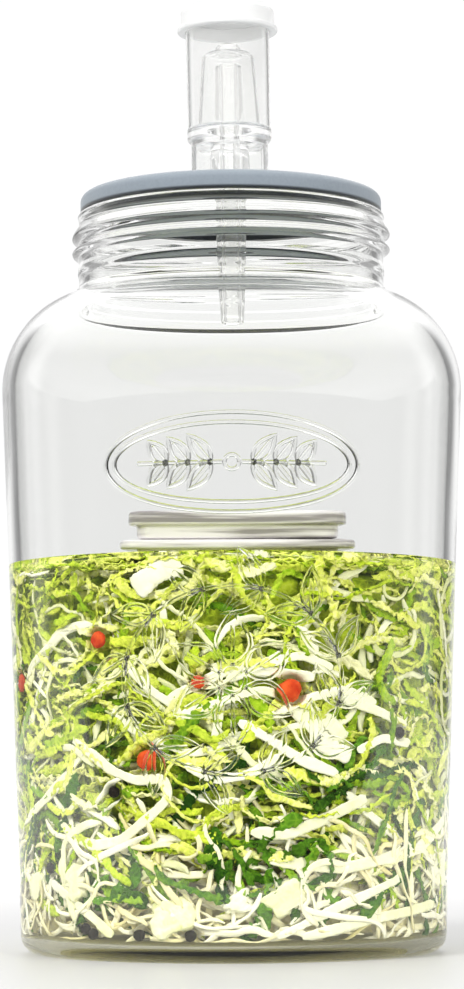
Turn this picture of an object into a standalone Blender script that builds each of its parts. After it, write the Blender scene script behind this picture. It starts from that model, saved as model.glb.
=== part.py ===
"""A five-litre fermentation jar: a screw-neck glass jar just over half full of shredded cabbage,
shut by a soft lid that carries a three-piece airlock, with two half-moon weights on the cabbage.

Metres, +Z up. The origin is on the surface that the jar stands on, under the middle of its base,
and -Y is the front.
"""

import math
import random

import bmesh
import bpy
from mathutils import Matrix, Vector, noise

# Gap between pieces that rest on each other.
GAP = 0.0003
ROUND_SIDES = 44
LID_SIDES = 32
SMALL_SIDES = 24

# The glass body, measured on its outside.
WALL = 0.0045
BASE_RADIUS = 0.0793
SHOULDER_RADIUS = 0.0868
HEEL_RADIUS = 0.010
FOOT_CORNER = 0.0070
FOOT_RING_INNER = 0.0640
BASE_PUSH_UP = 0.0026
FLOOR_THICKNESS = 0.0056
SHOULDER_START_Z = 0.210
SHOULDER_HEIGHT = 0.0375
SHOULDER_CENTRE_RADIUS = 0.052
BODY_CURVE = 1.18

# The neck and its two-start thread.
NECK_RADIUS = 0.0579
NECK_FOOT_RADIUS = 0.0586
NECK_WALL = 0.0042
RIM_Z = 0.2781
RIM_ROUNDING = 0.0018
THREAD_DEPTH = 0.0025
THREAD_LEAD = 0.0030
THREAD_LOWER_FLANK = 0.0020
THREAD_FADE = 0.07
THREAD_STARTS = ((0.2632, 0.0030), (0.2690, 0.0055))
THREAD_ZONE = (0.2575, 0.2765)
THREAD_ROWS = 11

# The soft lid: a thick disc over the rim, with a shallow ring under it that sits inside the neck.
LID_RADIUS = 0.0572
LID_THICKNESS = 0.0071
LID_EDGE_ROUNDING = 0.0030
LID_WEB = 0.0042
LID_RECESS = 0.0008
PLUG_RADIUS = 0.0530
PLUG_DEPTH = 0.0020
PLUG_WALL = 0.0050
HUB_RADIUS = 0.0110
HUB_DEPTH = 0.0014

# The airlock. It leans a little in its soft hole.
AIRLOCK_LEAN = math.radians(0.8)
STEM_TIP_Z = 0.2380
STEM_TIP_RADIUS = 0.0043
STEM_RADIUS_AT_LID = 0.0062
STEM_BORE = 0.0026
CUP_BOTTOM_Z = 0.3045
CUP_FLOOR_Z = 0.3104
CUP_TOP_Z = 0.3541
CUP_RADIUS = 0.0158
CUP_TOP_RADIUS = 0.0161
CUP_WALL = 0.0012
CUP_BEAD = 0.0003
CHIMNEY_TOP_Z = 0.3358
CHIMNEY_RADIUS = 0.0056
SKIRT_RADIUS = 0.0146
SKIRT_WALL = 0.0012
SKIRT_FOOT = 0.0005
FIN_COUNT = 4
FIN_THICKNESS = 0.0012
FIN_TURN = math.radians(14)
BELL_FOOT_RADIUS = 0.0118
BELL_TOP_RADIUS = 0.0100
BELL_TOP_Z = 0.3406
BELL_CORNER = 0.0028
BELL_WALL = 0.0010
BELL_NOTCH = (0.0030, 0.0022)
NUB_RADIUS = 0.0050
NUB_HEIGHT = 0.0037
CAP_BOTTOM_Z = 0.3487
CAP_TOP_Z = 0.3575
CAP_RADIUS = 0.0179
CAP_FLANGE_RADIUS = 0.0192
CAP_FLANGE_HEIGHT = 0.0018
CAP_TOP_PLATE = 0.0018
CAP_CORNER = 0.0014
CAP_PLUG_WALL = 0.0009
CAP_PLUG_DEPTH = 0.0024
CAP_VENT_COUNT = 3
CAP_VENT_RADIUS = 0.0009
CAP_VENT_CIRCLE = 0.0070

# Two half-moon weights, one on the other, their flat sides to the front. Each has a lip at its top.
WEIGHT_FLAT_Y = -0.010
WEIGHT_CENTRE_X = 0.0020
WEIGHT_EDGE = 0.0014
LOWER_WEIGHT = {"radius": 0.0449, "inset": 0.0070, "bottom": 0.1400, "lip": 0.1504, "top": 0.1537}
UPPER_WEIGHT = {"radius": 0.0415, "inset": 0.0032, "bottom": 0.1540, "lip": 0.1593, "top": 0.1645}
WEIGHT_ARC_STEPS = 14

# The cabbage: its core, and the shreds that show round it.
CORE_SETBACK = 0.0062
CORE_TOP_Z = 0.1396
CORE_SIDES = 24
CORE_ROWS = 5
CORE_BUMP = 0.0014
SHRED_TOP_Z = 0.1425
SHRED_CLEARANCE = 0.0006
SHRED_SCATTER = 0.0024
STRIP_DEPTH = 0.0090
SHRED_SEED = 15
LEAF_SHREDS = 36
STALK_SHREDS = 20
CHUNK_COUNT = 5
PEPPERCORN_COUNT = 5
CHILLI_COUNT = 3
PEPPERCORN_RADIUS = 0.0021
CHILLI_RADIUS = 0.0038


def clear_scene():
    for old in list(bpy.data.objects):
        bpy.data.objects.remove(old, do_unlink=True)


def make_material(name, colour, roughness, transmission=0.0):
    material = bpy.data.materials.new(name)
    material.use_nodes = True
    shader = material.node_tree.nodes["Principled BSDF"]
    shader.inputs["Base Color"].default_value = (*colour, 1.0)
    shader.inputs["Roughness"].default_value = roughness
    shader.inputs["Metallic"].default_value = 0.0
    shader.inputs["Transmission Weight"].default_value = transmission
    return material


def object_from_bmesh(name, shape, material=None):
    """Closes a bmesh into a new object, its faces pointing out, shaded smooth except at corners."""
    bmesh.ops.remove_doubles(shape, verts=shape.verts, dist=1e-6)
    bmesh.ops.recalc_face_normals(shape, faces=shape.faces)
    mesh = bpy.data.meshes.new(name)
    shape.to_mesh(mesh)
    shape.free()
    mesh.shade_smooth()
    mesh.set_sharp_from_angle(angle=math.radians(35))
    made = bpy.data.objects.new(name, mesh)
    bpy.context.scene.collection.objects.link(made)
    if material:
        mesh.materials.append(material)
    return made


def arc(centre_r, centre_z, radius, start, end, steps):
    """Points of a round corner from one angle to another, in degrees, both ends included."""
    angles = [math.radians(start + (end - start) * i / steps) for i in range(steps + 1)]
    return [(centre_r + radius * math.cos(a), centre_z + radius * math.sin(a)) for a in angles]


def turned(outline, sides, closed):
    """A bmesh turned about Z from (radius, height) points. A closed outline makes a ring."""
    shape = bmesh.new()
    points = [shape.verts.new((r, 0.0, z)) for r, z in outline]
    pairs = list(zip(points, points[1:]))
    if closed:
        pairs.append((points[-1], points[0]))
    edges = [shape.edges.new(pair) for pair in pairs]
    bmesh.ops.spin(shape, geom=points + edges, cent=(0, 0, 0), axis=(0, 0, 1),
                   angle=math.tau, steps=sides, use_merge=True)
    bmesh.ops.remove_doubles(shape, verts=shape.verts, dist=1e-6)
    return shape


def cut_with(target, cutters, operation="DIFFERENCE", solver="EXACT"):
    """Applies one Boolean of a collection of cutters to the target, and removes the cutters."""
    group = bpy.data.collections.new("cutters")
    bpy.context.scene.collection.children.link(group)
    for cutter in cutters:
        bpy.context.scene.collection.objects.unlink(cutter)
        group.objects.link(cutter)
    modifier = target.modifiers.new("cut", "BOOLEAN")
    modifier.operand_type = "COLLECTION"
    modifier.collection = group
    modifier.operation = operation
    modifier.solver = solver
    bpy.context.view_layer.update()
    evaluated = target.evaluated_get(bpy.context.evaluated_depsgraph_get())
    result = bpy.data.meshes.new_from_object(evaluated)
    target.modifiers.remove(modifier)
    target.data = result
    for cutter in cutters:
        bpy.data.objects.remove(cutter, do_unlink=True)
    bpy.data.collections.remove(group)


def body_radius(z):
    """Outer radius of the glass body, which widens from the heel to the shoulder."""
    share = max(0.0, z) / SHOULDER_START_Z
    return BASE_RADIUS + (SHOULDER_RADIUS - BASE_RADIUS) * share**BODY_CURVE


def shoulder_point(r, inset=0.0):
    """Point of the shoulder's ellipse at outer radius r, moved inwards square to the curve."""
    wide = SHOULDER_RADIUS - SHOULDER_CENTRE_RADIUS
    angle = math.acos(min(1.0, (r - SHOULDER_CENTRE_RADIUS) / wide))
    normal = Vector((math.cos(angle) / wide, math.sin(angle) / SHOULDER_HEIGHT)).normalized()
    z = SHOULDER_START_Z + SHOULDER_HEIGHT * math.sin(angle)
    return (r - inset * normal.x, z - inset * normal.y)


def shoulder_radii(steps):
    """Radii down the shoulder, closest together where it is steep."""
    span = SHOULDER_RADIUS - NECK_FOOT_RADIUS
    return [NECK_FOOT_RADIUS + span * math.sin(math.pi / 2 * i / steps) for i in range(steps + 1)]


def thread_height(angle, z):
    """How far the thread stands out of the neck. Each start is one slow turn that fades at the back."""
    turn = ((angle - math.pi / 2) % math.tau) / math.tau
    fade = min(1.0, turn / THREAD_FADE, (1.0 - turn) / THREAD_FADE)
    height = 0.0
    for tip_z, upper_flank in THREAD_STARTS:
        above = z - (tip_z + THREAD_LEAD * (turn - 0.5))
        reach = upper_flank if above > 0 else THREAD_LOWER_FLANK
        height = max(height, THREAD_DEPTH * fade * max(0.0, 1.0 - abs(above) / reach))
    return height


def jar_outline():
    """The jar's section from the axis under the base, up the outside and down the inside."""
    low, high = THREAD_ZONE
    outside = [(0.0, BASE_PUSH_UP), (FOOT_RING_INNER - 0.010, BASE_PUSH_UP * 0.8), (FOOT_RING_INNER, 0.0)]
    outside += arc(body_radius(FOOT_CORNER) - FOOT_CORNER, FOOT_CORNER, FOOT_CORNER, -90, 0, 4)
    outside += [(body_radius(SHOULDER_START_Z * i / 4), SHOULDER_START_Z * i / 4) for i in range(1, 4)]
    outside += [shoulder_point(r) for r in reversed(shoulder_radii(6))]
    outside += [(NECK_RADIUS, low + (high - low) * i / THREAD_ROWS) for i in range(THREAD_ROWS + 1)]
    rim_centre = NECK_RADIUS + 0.0004 - RIM_ROUNDING
    outside += arc(rim_centre, RIM_Z - RIM_ROUNDING, RIM_ROUNDING, 0, 90, 3)
    bore = NECK_RADIUS - NECK_WALL
    inside = arc(bore + RIM_ROUNDING, RIM_Z - RIM_ROUNDING, RIM_ROUNDING, 110, 180, 2)
    inside += [(bore, 0.266), (bore, 0.2500)]
    inside += [shoulder_point(r, WALL) for r in shoulder_radii(5) if r > 0.0605]
    inside += [(body_radius(SHOULDER_START_Z * i / 3) - WALL, SHOULDER_START_Z * i / 3) for i in (2, 1)]
    corner = HEEL_RADIUS - WALL
    heel_r = body_radius(HEEL_RADIUS) - HEEL_RADIUS
    inside += arc(heel_r, FLOOR_THICKNESS + corner, corner, 0, -90, 2)
    inside.append((0.0, FLOOR_THICKNESS + 0.0014))
    return outside + inside


def make_jar(material):
    shape = turned(jar_outline(), ROUND_SIDES, closed=False)
    low, high = THREAD_ZONE
    for vert in shape.verts:
        r = math.hypot(vert.co.x, vert.co.y)
        if low - 1e-5 < vert.co.z < high + 1e-5 and r > NECK_RADIUS - 1e-4:
            grown = 1.0 + thread_height(math.atan2(vert.co.y, vert.co.x), vert.co.z) / r
            vert.co.x *= grown
            vert.co.y *= grown
    return object_from_bmesh("jar", shape, material)


def lid_outline():
    """The lid's section, a closed loop round its central hole."""
    under = RIM_Z + GAP
    top = under + LID_THICKNESS
    hole = stem_radius(under) + GAP + 0.0002
    edge = LID_EDGE_ROUNDING
    loop = [(hole, top - LID_RECESS), (HUB_RADIUS, top - LID_RECESS), (HUB_RADIUS + 0.002, top)]
    loop += arc(LID_RADIUS - edge, top - edge, edge, 90, 0, 3)
    loop += arc(LID_RADIUS - 0.0010, under + 0.0010, 0.0010, 0, -90, 1)
    loop += [(PLUG_RADIUS, under), (PLUG_RADIUS, under - PLUG_DEPTH + 0.0008), (PLUG_RADIUS - 0.0008, under - PLUG_DEPTH)]
    loop += [(PLUG_RADIUS - PLUG_WALL, under - PLUG_DEPTH), (PLUG_RADIUS - PLUG_WALL, top - LID_WEB)]
    loop += [(HUB_RADIUS, top - LID_WEB), (HUB_RADIUS - 0.0012, under - HUB_DEPTH), (hole, under - HUB_DEPTH)]
    return loop


def stem_radius(z):
    """Outer radius of the tapered stem."""
    share = (z - STEM_TIP_Z) / (RIM_Z - STEM_TIP_Z)
    return STEM_TIP_RADIUS + (STEM_RADIUS_AT_LID - STEM_TIP_RADIUS) * share


def make_lid(material):
    return object_from_bmesh("lid", turned(lid_outline(), LID_SIDES, closed=True), material)


def cup_outline():
    """The airlock's cup, its inner chimney and its stem, one tube from the tip to the chimney's top."""
    bore = STEM_BORE
    loop = [(bore, STEM_TIP_Z), (STEM_TIP_RADIUS, STEM_TIP_Z)]
    loop += [(stem_radius(z), z) for z in (RIM_Z, CUP_BOTTOM_Z + 0.0010)]
    loop += [(SKIRT_RADIUS - 0.0006, CUP_BOTTOM_Z + 0.0010)]
    loop += arc(CUP_RADIUS + CUP_BEAD - 0.0026, CUP_BOTTOM_Z + 0.0036, 0.0026, -60, 0, 2)
    loop += [(CUP_RADIUS + CUP_BEAD, CUP_FLOOR_Z + 0.0005), (CUP_RADIUS, CUP_FLOOR_Z + 0.0011)]
    loop += [(CUP_TOP_RADIUS, CUP_TOP_Z), (CUP_TOP_RADIUS - CUP_WALL, CUP_TOP_Z)]
    loop += [(CUP_RADIUS - CUP_WALL, CUP_FLOOR_Z + 0.0010), (CUP_RADIUS - CUP_WALL - 0.0010, CUP_FLOOR_Z)]
    loop += [(CHIMNEY_RADIUS, CUP_FLOOR_Z), (CHIMNEY_RADIUS - 0.0006, CHIMNEY_TOP_Z)]
    loop.append((bore, CHIMNEY_TOP_Z))
    return loop


def make_skirt():
    """The ring under the cup that stands on the lid."""
    low = RIM_Z + GAP + LID_THICKNESS + GAP
    high = CUP_BOTTOM_Z + 0.0022
    inner = SKIRT_RADIUS - SKIRT_WALL
    loop = [(SKIRT_RADIUS + SKIRT_FOOT, low), (SKIRT_RADIUS + SKIRT_FOOT, low + 0.0010)]
    loop += [(SKIRT_RADIUS, low + 0.0016), (SKIRT_RADIUS, high), (inner, high), (inner, low)]
    return object_from_bmesh("skirt", turned(loop[::-1], SMALL_SIDES, closed=True))


def make_fin(index):
    """One of the fins that brace the stem inside the skirt."""
    low = RIM_Z + GAP + LID_THICKNESS + 0.0012
    high = CUP_BOTTOM_Z + 0.0020
    inner = STEM_BORE + 0.0010
    outer = SKIRT_RADIUS - SKIRT_WALL / 2
    shape = bmesh.new()
    bmesh.ops.create_cube(shape, size=1.0)
    size = Vector((outer - inner, FIN_THICKNESS, high - low))
    middle = Vector(((outer + inner) / 2, 0.0, (high + low) / 2))
    turn = Matrix.Rotation(math.tau * index / FIN_COUNT + FIN_TURN, 4, "Z")
    place = turn @ Matrix.Translation(middle) @ Matrix.Diagonal((*size, 1))
    bmesh.ops.transform(shape, verts=shape.verts, matrix=place)
    return object_from_bmesh(f"fin_{index}", shape)


def make_cup(material):
    cup = object_from_bmesh("airlock_cup", turned(cup_outline(), SMALL_SIDES, closed=True))
    cut_with(cup, [make_skirt()] + [make_fin(i) for i in range(FIN_COUNT)], operation="UNION")
    cup.data.materials.append(material)
    return cup


def bell_outline():
    """The upturned float over the chimney, from its nub down the outside and up the inside."""
    foot = CUP_FLOOR_Z + GAP
    corner = BELL_CORNER
    inner_top = BELL_TOP_Z - BELL_WALL
    outline = [(0.0, BELL_TOP_Z + NUB_HEIGHT), (NUB_RADIUS * 0.55, BELL_TOP_Z + NUB_HEIGHT * 0.9)]
    outline += [(NUB_RADIUS * 0.9, BELL_TOP_Z + NUB_HEIGHT * 0.4), (NUB_RADIUS, BELL_TOP_Z)]
    outline += arc(BELL_TOP_RADIUS - corner, BELL_TOP_Z - corner, corner, 90, 0, 3)
    outline += [(BELL_FOOT_RADIUS, foot), (BELL_FOOT_RADIUS - BELL_WALL, foot)]
    outline += arc(BELL_TOP_RADIUS - corner, BELL_TOP_Z - corner, corner - BELL_WALL, 0, 90, 2)
    outline.append((0.0, inner_top))
    return outline


def make_bell(material):
    bell = object_from_bmesh("airlock_bell", turned(bell_outline(), SMALL_SIDES, closed=False))
    width, height = BELL_NOTCH
    cutters = []
    for index in range(2):
        shape = bmesh.new()
        bmesh.ops.create_cube(shape, size=1.0)
        size = Matrix.Diagonal((2.4 * BELL_FOOT_RADIUS, width, 2 * height, 1))
        turn = Matrix.Rotation(math.radians(45 + 90 * index), 4, "Z")
        place = Matrix.Translation((0, 0, CUP_FLOOR_Z)) @ turn @ size
        bmesh.ops.transform(shape, verts=shape.verts, matrix=place)
        cutters.append(object_from_bmesh(f"notch_{index}", shape))
    cut_with(bell, cutters)
    bell.data.materials.append(material)
    return bell


def cap_outline():
    """The snap-on cap, with a ring that goes inside the cup's mouth."""
    inner_top = CAP_TOP_Z - CAP_TOP_PLATE
    grip = CUP_TOP_RADIUS + GAP
    plug = CUP_TOP_RADIUS - CUP_WALL - GAP - 0.0001
    outline = [(0.0, CAP_TOP_Z)] + arc(CAP_RADIUS - CAP_CORNER, CAP_TOP_Z - CAP_CORNER, CAP_CORNER, 90, 0, 3)
    outline += [(CAP_RADIUS, CAP_BOTTOM_Z + CAP_FLANGE_HEIGHT + 0.0006)]
    outline.append((CAP_FLANGE_RADIUS, CAP_BOTTOM_Z + CAP_FLANGE_HEIGHT))
    outline.append((CAP_FLANGE_RADIUS, CAP_BOTTOM_Z + 0.0004))
    outline += [(CAP_FLANGE_RADIUS - 0.0004, CAP_BOTTOM_Z), (grip, CAP_BOTTOM_Z), (grip, inner_top)]
    outline += [(plug, inner_top), (plug, inner_top - CAP_PLUG_DEPTH)]
    outline += [(plug - CAP_PLUG_WALL, inner_top - CAP_PLUG_DEPTH), (plug - CAP_PLUG_WALL, inner_top)]
    outline.append((0.0, inner_top))
    return outline


def make_cap(material):
    cap = object_from_bmesh("airlock_cap", turned(cap_outline(), SMALL_SIDES, closed=False))
    vents = []
    for index in range(CAP_VENT_COUNT):
        turn = math.tau * index / CAP_VENT_COUNT
        shape = bmesh.new()
        middle = (CAP_VENT_CIRCLE * math.cos(turn), CAP_VENT_CIRCLE * math.sin(turn), CAP_TOP_Z)
        place = Matrix.Translation(middle)
        bmesh.ops.create_cone(shape, cap_ends=True, segments=8, radius1=CAP_VENT_RADIUS,
                              radius2=CAP_VENT_RADIUS, depth=4 * CAP_TOP_PLATE, matrix=place)
        vents.append(object_from_bmesh(f"vent_{index}", shape))
    cut_with(cap, vents)
    cap.data.materials.append(material)
    return cap


def half_moon(radius):
    """Plan of a half-moon weight: its flat side at the front, its two corners rounded."""
    corner = math.radians(9)
    angles = [corner + (math.pi - 2 * corner) * i / WEIGHT_ARC_STEPS for i in range(WEIGHT_ARC_STEPS + 1)]
    points = [(radius * math.cos(a), WEIGHT_FLAT_Y + radius * math.sin(a)) for a in angles]
    front = radius * math.cos(corner) - 0.006
    left = [(-front - 0.0035, WEIGHT_FLAT_Y + 0.0016), (-front, WEIGHT_FLAT_Y)]
    right = [(-x, y) for x, y in reversed(left)]
    return [(x + WEIGHT_CENTRE_X, y) for x, y in points + left + right]


def make_weight(name, size, material):
    """A half-moon slab, drawn in below its lip, with rounded edges."""
    low, lip, high, edge = size["bottom"], size["lip"], size["top"], WEIGHT_EDGE
    body = size["inset"]
    levels = [(low, body + edge), (low + edge, body), (lip - edge * 0.5, body), (lip, body - edge * 0.5)]
    levels += [(lip, edge * 0.5), (lip + edge * 0.5, 0.0)]
    levels += [(high - edge, 0.0), (high - edge * 0.3, edge * 0.3), (high, edge)]
    centre = Vector((WEIGHT_CENTRE_X, WEIGHT_FLAT_Y + size["radius"] * 0.42))
    shape = bmesh.new()
    rings = []
    for z, inset in levels:
        drawn_in = 1.0 - inset / (size["radius"] * 0.72)
        plan = [centre + (Vector(point) - centre) * drawn_in for point in half_moon(size["radius"])]
        rings.append([shape.verts.new((x, y, z)) for x, y in plan])
    for below, above in zip(rings, rings[1:]):
        for i in range(len(below)):
            j = (i + 1) % len(below)
            shape.faces.new((below[i], below[j], above[j], above[i]))
    shape.faces.new(rings[0][::-1])
    shape.faces.new(rings[-1])
    return object_from_bmesh(name, shape, material)


def filling_radius(z):
    """The widest that the cabbage may be inside the glass at this height."""
    corner = HEEL_RADIUS - WALL
    rise = z - FLOOR_THICKNESS
    pulled_in = 0.0
    if rise < corner:
        pulled_in = corner - math.sqrt(max(0.0, corner**2 - (corner - rise) ** 2))
    return body_radius(z) - WALL - SHRED_CLEARANCE - pulled_in


def make_core():
    """The packed middle of the cabbage, set back from the glass, with an uneven side and top."""
    low = FLOOR_THICKNESS + 0.0022
    outline = [(0.0, low), (filling_radius(low + 0.004) - CORE_SETBACK - 0.003, low)]
    for i in range(CORE_ROWS + 1):
        z = low + 0.004 + (CORE_TOP_Z - 0.010 - low) * i / CORE_ROWS
        outline.append((filling_radius(z) - CORE_SETBACK, z))
    outline += [(0.060, CORE_TOP_Z), (0.0, CORE_TOP_Z)]
    shape = turned(outline, CORE_SIDES, closed=False)
    for vert in shape.verts:
        if low + 0.001 < vert.co.z < CORE_TOP_Z - 0.001:
            vert.co += noise.noise_vector(vert.co * 45.0) * CORE_BUMP
    return object_from_bmesh("vegetables", shape)


def strip_along(name, centres, widths, setback, depth):
    """A flat strip along points (angle, height) near the inside of the glass, reaching in by its depth."""
    shape = bmesh.new()
    rings = []
    for i, (angle, z) in enumerate(centres):
        before, after = centres[max(0, i - 1)], centres[min(len(centres) - 1, i + 1)]
        radius = filling_radius(z)
        step = Vector(((after[0] - before[0]) * radius, after[1] - before[1])).normalized()
        across = Vector((-step.y, step.x)) * widths[i] / 2
        ring = []
        for side, inwards in ((1, 0.0), (-1, 0.0), (-1, depth), (1, depth)):
            corner_angle = angle + side * across.x / radius
            corner_z = z + side * across.y
            r = min(radius, filling_radius(corner_z)) - setback - inwards
            ring.append(shape.verts.new((r * math.cos(corner_angle), r * math.sin(corner_angle), corner_z)))
        rings.append(ring)
    for one, two in zip(rings, rings[1:]):
        for i in range(4):
            j = (i + 1) % 4
            shape.faces.new((one[i], one[j], two[j], two[i]))
    shape.faces.new(rings[0][::-1])
    shape.faces.new(rings[-1])
    bmesh.ops.triangulate(shape, faces=shape.faces)
    return object_from_bmesh(name, shape)


def wandering_route(draw, angle, z, length, heading, bend, steps):
    """Points (angle, height) of a shred that curls on the glass, kept between the floor and the top."""
    points = []
    low, high = FLOOR_THICKNESS + 0.007, SHRED_TOP_Z - 0.004
    for _ in range(steps + 1):
        points.append((angle, min(high, max(low, z))))
        heading += bend / steps * draw.uniform(0.4, 1.6)
        angle += length / steps * math.cos(heading) / filling_radius(z)
        z += length / steps * math.sin(heading)
    return points


def spread_places(draw, count, low, high):
    """Places (angle, height) spread evenly round the jar and up it, each moved a little at random."""
    golden = math.pi * (3.0 - math.sqrt(5.0))
    places = []
    for i in range(count):
        share = (i + draw.uniform(0.2, 0.8)) / count
        places.append((golden * i + draw.uniform(-0.15, 0.15), low + (high - low) * share))
    draw.shuffle(places)
    return places


def make_shreds(draw):
    """Wide leaf shreds, narrow stalk shreds and chunks of stalk, all against the glass."""
    made = []
    for i, (angle, z) in enumerate(spread_places(draw, LEAF_SHREDS, 0.030, SHRED_TOP_Z - 0.006)):
        route = wandering_route(draw, angle, z, draw.uniform(0.032, 0.055), draw.uniform(-1.0, 1.0),
                                draw.uniform(-0.9, 0.9), 3)
        width = draw.uniform(0.008, 0.014)
        widths = [width * share for share in (0.55, 1.0, 0.9, 0.5)]
        made.append(strip_along(f"leaf_{i}", route, widths, draw.uniform(0, SHRED_SCATTER), STRIP_DEPTH))
    for i, (angle, z) in enumerate(spread_places(draw, STALK_SHREDS, 0.014, 0.110)):
        route = wandering_route(draw, angle, z, draw.uniform(0.040, 0.070), draw.uniform(-0.7, 0.7),
                                draw.uniform(-1.8, 1.8), 4)
        width = draw.uniform(0.0034, 0.0050)
        widths = [width] * 5
        made.append(strip_along(f"stalk_{i}", route, widths, draw.uniform(0, SHRED_SCATTER), STRIP_DEPTH))
    for i, (angle, z) in enumerate(spread_places(draw, CHUNK_COUNT, 0.018, 0.034)):
        reach = draw.uniform(0.010, 0.014) / filling_radius(z)
        route = [(angle - reach, z), (angle, z + 0.001), (angle + reach, z)]
        width = draw.uniform(0.014, 0.020)
        widths = [width * 0.7, width, width * 0.8]
        made.append(strip_along(f"chunk_{i}", route, widths, draw.uniform(0, SHRED_SCATTER), STRIP_DEPTH))
    return made


def make_spices(draw):
    """Peppercorns near the floor and slices of chilli higher up, half sunk in the cabbage."""
    made = []
    kinds = [(PEPPERCORN_COUNT, PEPPERCORN_RADIUS, 0.013, 0.060), (CHILLI_COUNT, CHILLI_RADIUS, 0.060, 0.100)]
    for count, radius, low, high in kinds:
        for i, (angle, z) in enumerate(spread_places(draw, count, low, high)):
            shape = bmesh.new()
            reach = filling_radius(z) - radius * 0.9
            place = Matrix.Translation((reach * math.cos(angle), reach * math.sin(angle), z))
            bmesh.ops.create_uvsphere(shape, u_segments=6, v_segments=4, radius=radius * 0.9, matrix=place)
            made.append(object_from_bmesh(f"spice_{i}", shape))
    return made


def keep_largest_body(made):
    """Drops loose scraps and fills sealed hollows: only the largest outer surface stays."""
    shape = bmesh.new()
    shape.from_mesh(made.data)
    bmesh.ops.dissolve_degenerate(shape, dist=1e-6, edges=shape.edges)
    unseen = set(shape.faces)
    bodies = []
    while unseen:
        found, waiting = set(), [unseen.pop()]
        while waiting:
            face = waiting.pop()
            found.add(face)
            for edge in face.edges:
                if len(edge.link_faces) != 2:
                    continue
                for other in edge.link_faces:
                    if other in unseen:
                        unseen.remove(other)
                        waiting.append(other)
        bodies.append(found)
    largest = max(bodies, key=lambda faces: sum(face.calc_area() for face in faces))
    bmesh.ops.delete(shape, geom=[f for f in shape.faces if f not in largest], context="FACES")
    bmesh.ops.triangulate(shape, faces=shape.faces)
    shape.to_mesh(made.data)
    shape.free()


def make_vegetables(material):
    draw = random.Random(SHRED_SEED)
    heap = make_core()
    cut_with(heap, make_shreds(draw) + make_spices(draw), operation="UNION")
    keep_largest_body(heap)
    heap.data.materials.clear()
    heap.data.materials.append(material)
    return heap


def make_airlock(clear, frosted):
    """The three pieces of the airlock, leaning together about the middle of the lid."""
    pieces = [make_cup(clear), make_bell(clear), make_cap(frosted)]
    pivot = bpy.data.objects.new("airlock_lean", None)
    bpy.context.scene.collection.objects.link(pivot)
    pivot_z = RIM_Z
    pivot.location = (0.0, 0.0, pivot_z)
    pivot.rotation_euler = (0.0, -AIRLOCK_LEAN, 0.0)
    for piece in pieces:
        piece.parent = pivot
        piece.location = (0.0, 0.0, -pivot_z)


def main():
    clear_scene()
    glass = make_material("clear_glass", (0.93, 0.96, 0.94), 0.02, transmission=1.0)
    clear_plastic = make_material("clear_plastic", (0.95, 0.95, 0.95), 0.08, transmission=0.95)
    frosted_plastic = make_material("frosted_plastic", (0.93, 0.93, 0.92), 0.40, transmission=0.4)
    silicone = make_material("grey_silicone", (0.36, 0.42, 0.47), 0.55)
    ceramic = make_material("glazed_ceramic", (0.60, 0.58, 0.56), 0.20)
    cabbage = make_material("cabbage", (0.46, 0.56, 0.12), 0.45)
    make_jar(glass)
    make_lid(silicone)
    make_airlock(clear_plastic, frosted_plastic)
    make_weight("weight_lower", LOWER_WEIGHT, ceramic)
    make_weight("weight_upper", UPPER_WEIGHT, ceramic)
    make_vegetables(cabbage)


main()
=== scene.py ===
"""A five-litre fermentation jar, dressed for a studio picture: clear glass with a raised pattern,
a soft lid with a clear airlock, and shredded cabbage in brine under two half-moon weights.

Metres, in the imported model's frame: +Z up, -Y the front.
"""

import math

import bmesh
import bpy
import numpy as np
from mathutils import Matrix, Vector, noise


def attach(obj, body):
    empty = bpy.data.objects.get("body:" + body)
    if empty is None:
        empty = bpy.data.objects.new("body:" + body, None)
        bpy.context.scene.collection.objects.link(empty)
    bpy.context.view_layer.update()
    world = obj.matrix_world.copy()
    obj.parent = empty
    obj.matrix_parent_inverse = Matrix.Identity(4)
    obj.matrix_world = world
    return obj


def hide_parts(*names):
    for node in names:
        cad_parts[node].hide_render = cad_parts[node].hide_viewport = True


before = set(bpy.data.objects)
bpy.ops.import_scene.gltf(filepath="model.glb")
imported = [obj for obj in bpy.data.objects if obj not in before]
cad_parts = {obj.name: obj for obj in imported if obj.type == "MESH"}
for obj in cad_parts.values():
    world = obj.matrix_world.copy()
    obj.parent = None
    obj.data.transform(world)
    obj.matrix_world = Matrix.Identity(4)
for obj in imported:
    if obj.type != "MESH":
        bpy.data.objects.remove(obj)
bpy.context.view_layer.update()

GAP = 0.0003
SEED = 7

# Sides of the turned surfaces.
GLASS_SIDES = 240
LID_SIDES = 160
CUP_SIDES = 96
BELL_SIDES = 80
BRINE_SIDES = 160
CORE_SIDES = 180

# Glass body and neck, as in the solids.
WALL = 0.0045
BASE_RADIUS = 0.0793
SHOULDER_RADIUS = 0.0868
BODY_CURVE = 1.18
HEEL_RADIUS = 0.010
FOOT_CORNER = 0.0070
FOOT_RING_INNER = 0.0640
BASE_PUSH_UP = 0.0026
FLOOR_THICKNESS = 0.0056
SHOULDER_START_Z = 0.210
SHOULDER_HEIGHT = 0.0375
SHOULDER_CENTRE_RADIUS = 0.052
NECK_RADIUS = 0.0579
NECK_FOOT_RADIUS = 0.0586
NECK_WALL = 0.0042
RIM_Z = 0.2781
RIM_ROUNDING = 0.0018
THREAD_DEPTH = 0.0025
THREAD_LEAD = 0.0030
THREAD_LOWER_FLANK = 0.0020
THREAD_FADE = 0.07
THREAD_STARTS = ((0.2632, 0.0030), (0.2690, 0.0055))

# Cords of the raised pattern.
CORD_HALF_WIDTH = 0.00080
CORD_HEIGHT = 0.00105
PANEL_Z = 0.1755
WREATH_Z = 0.0990

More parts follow.
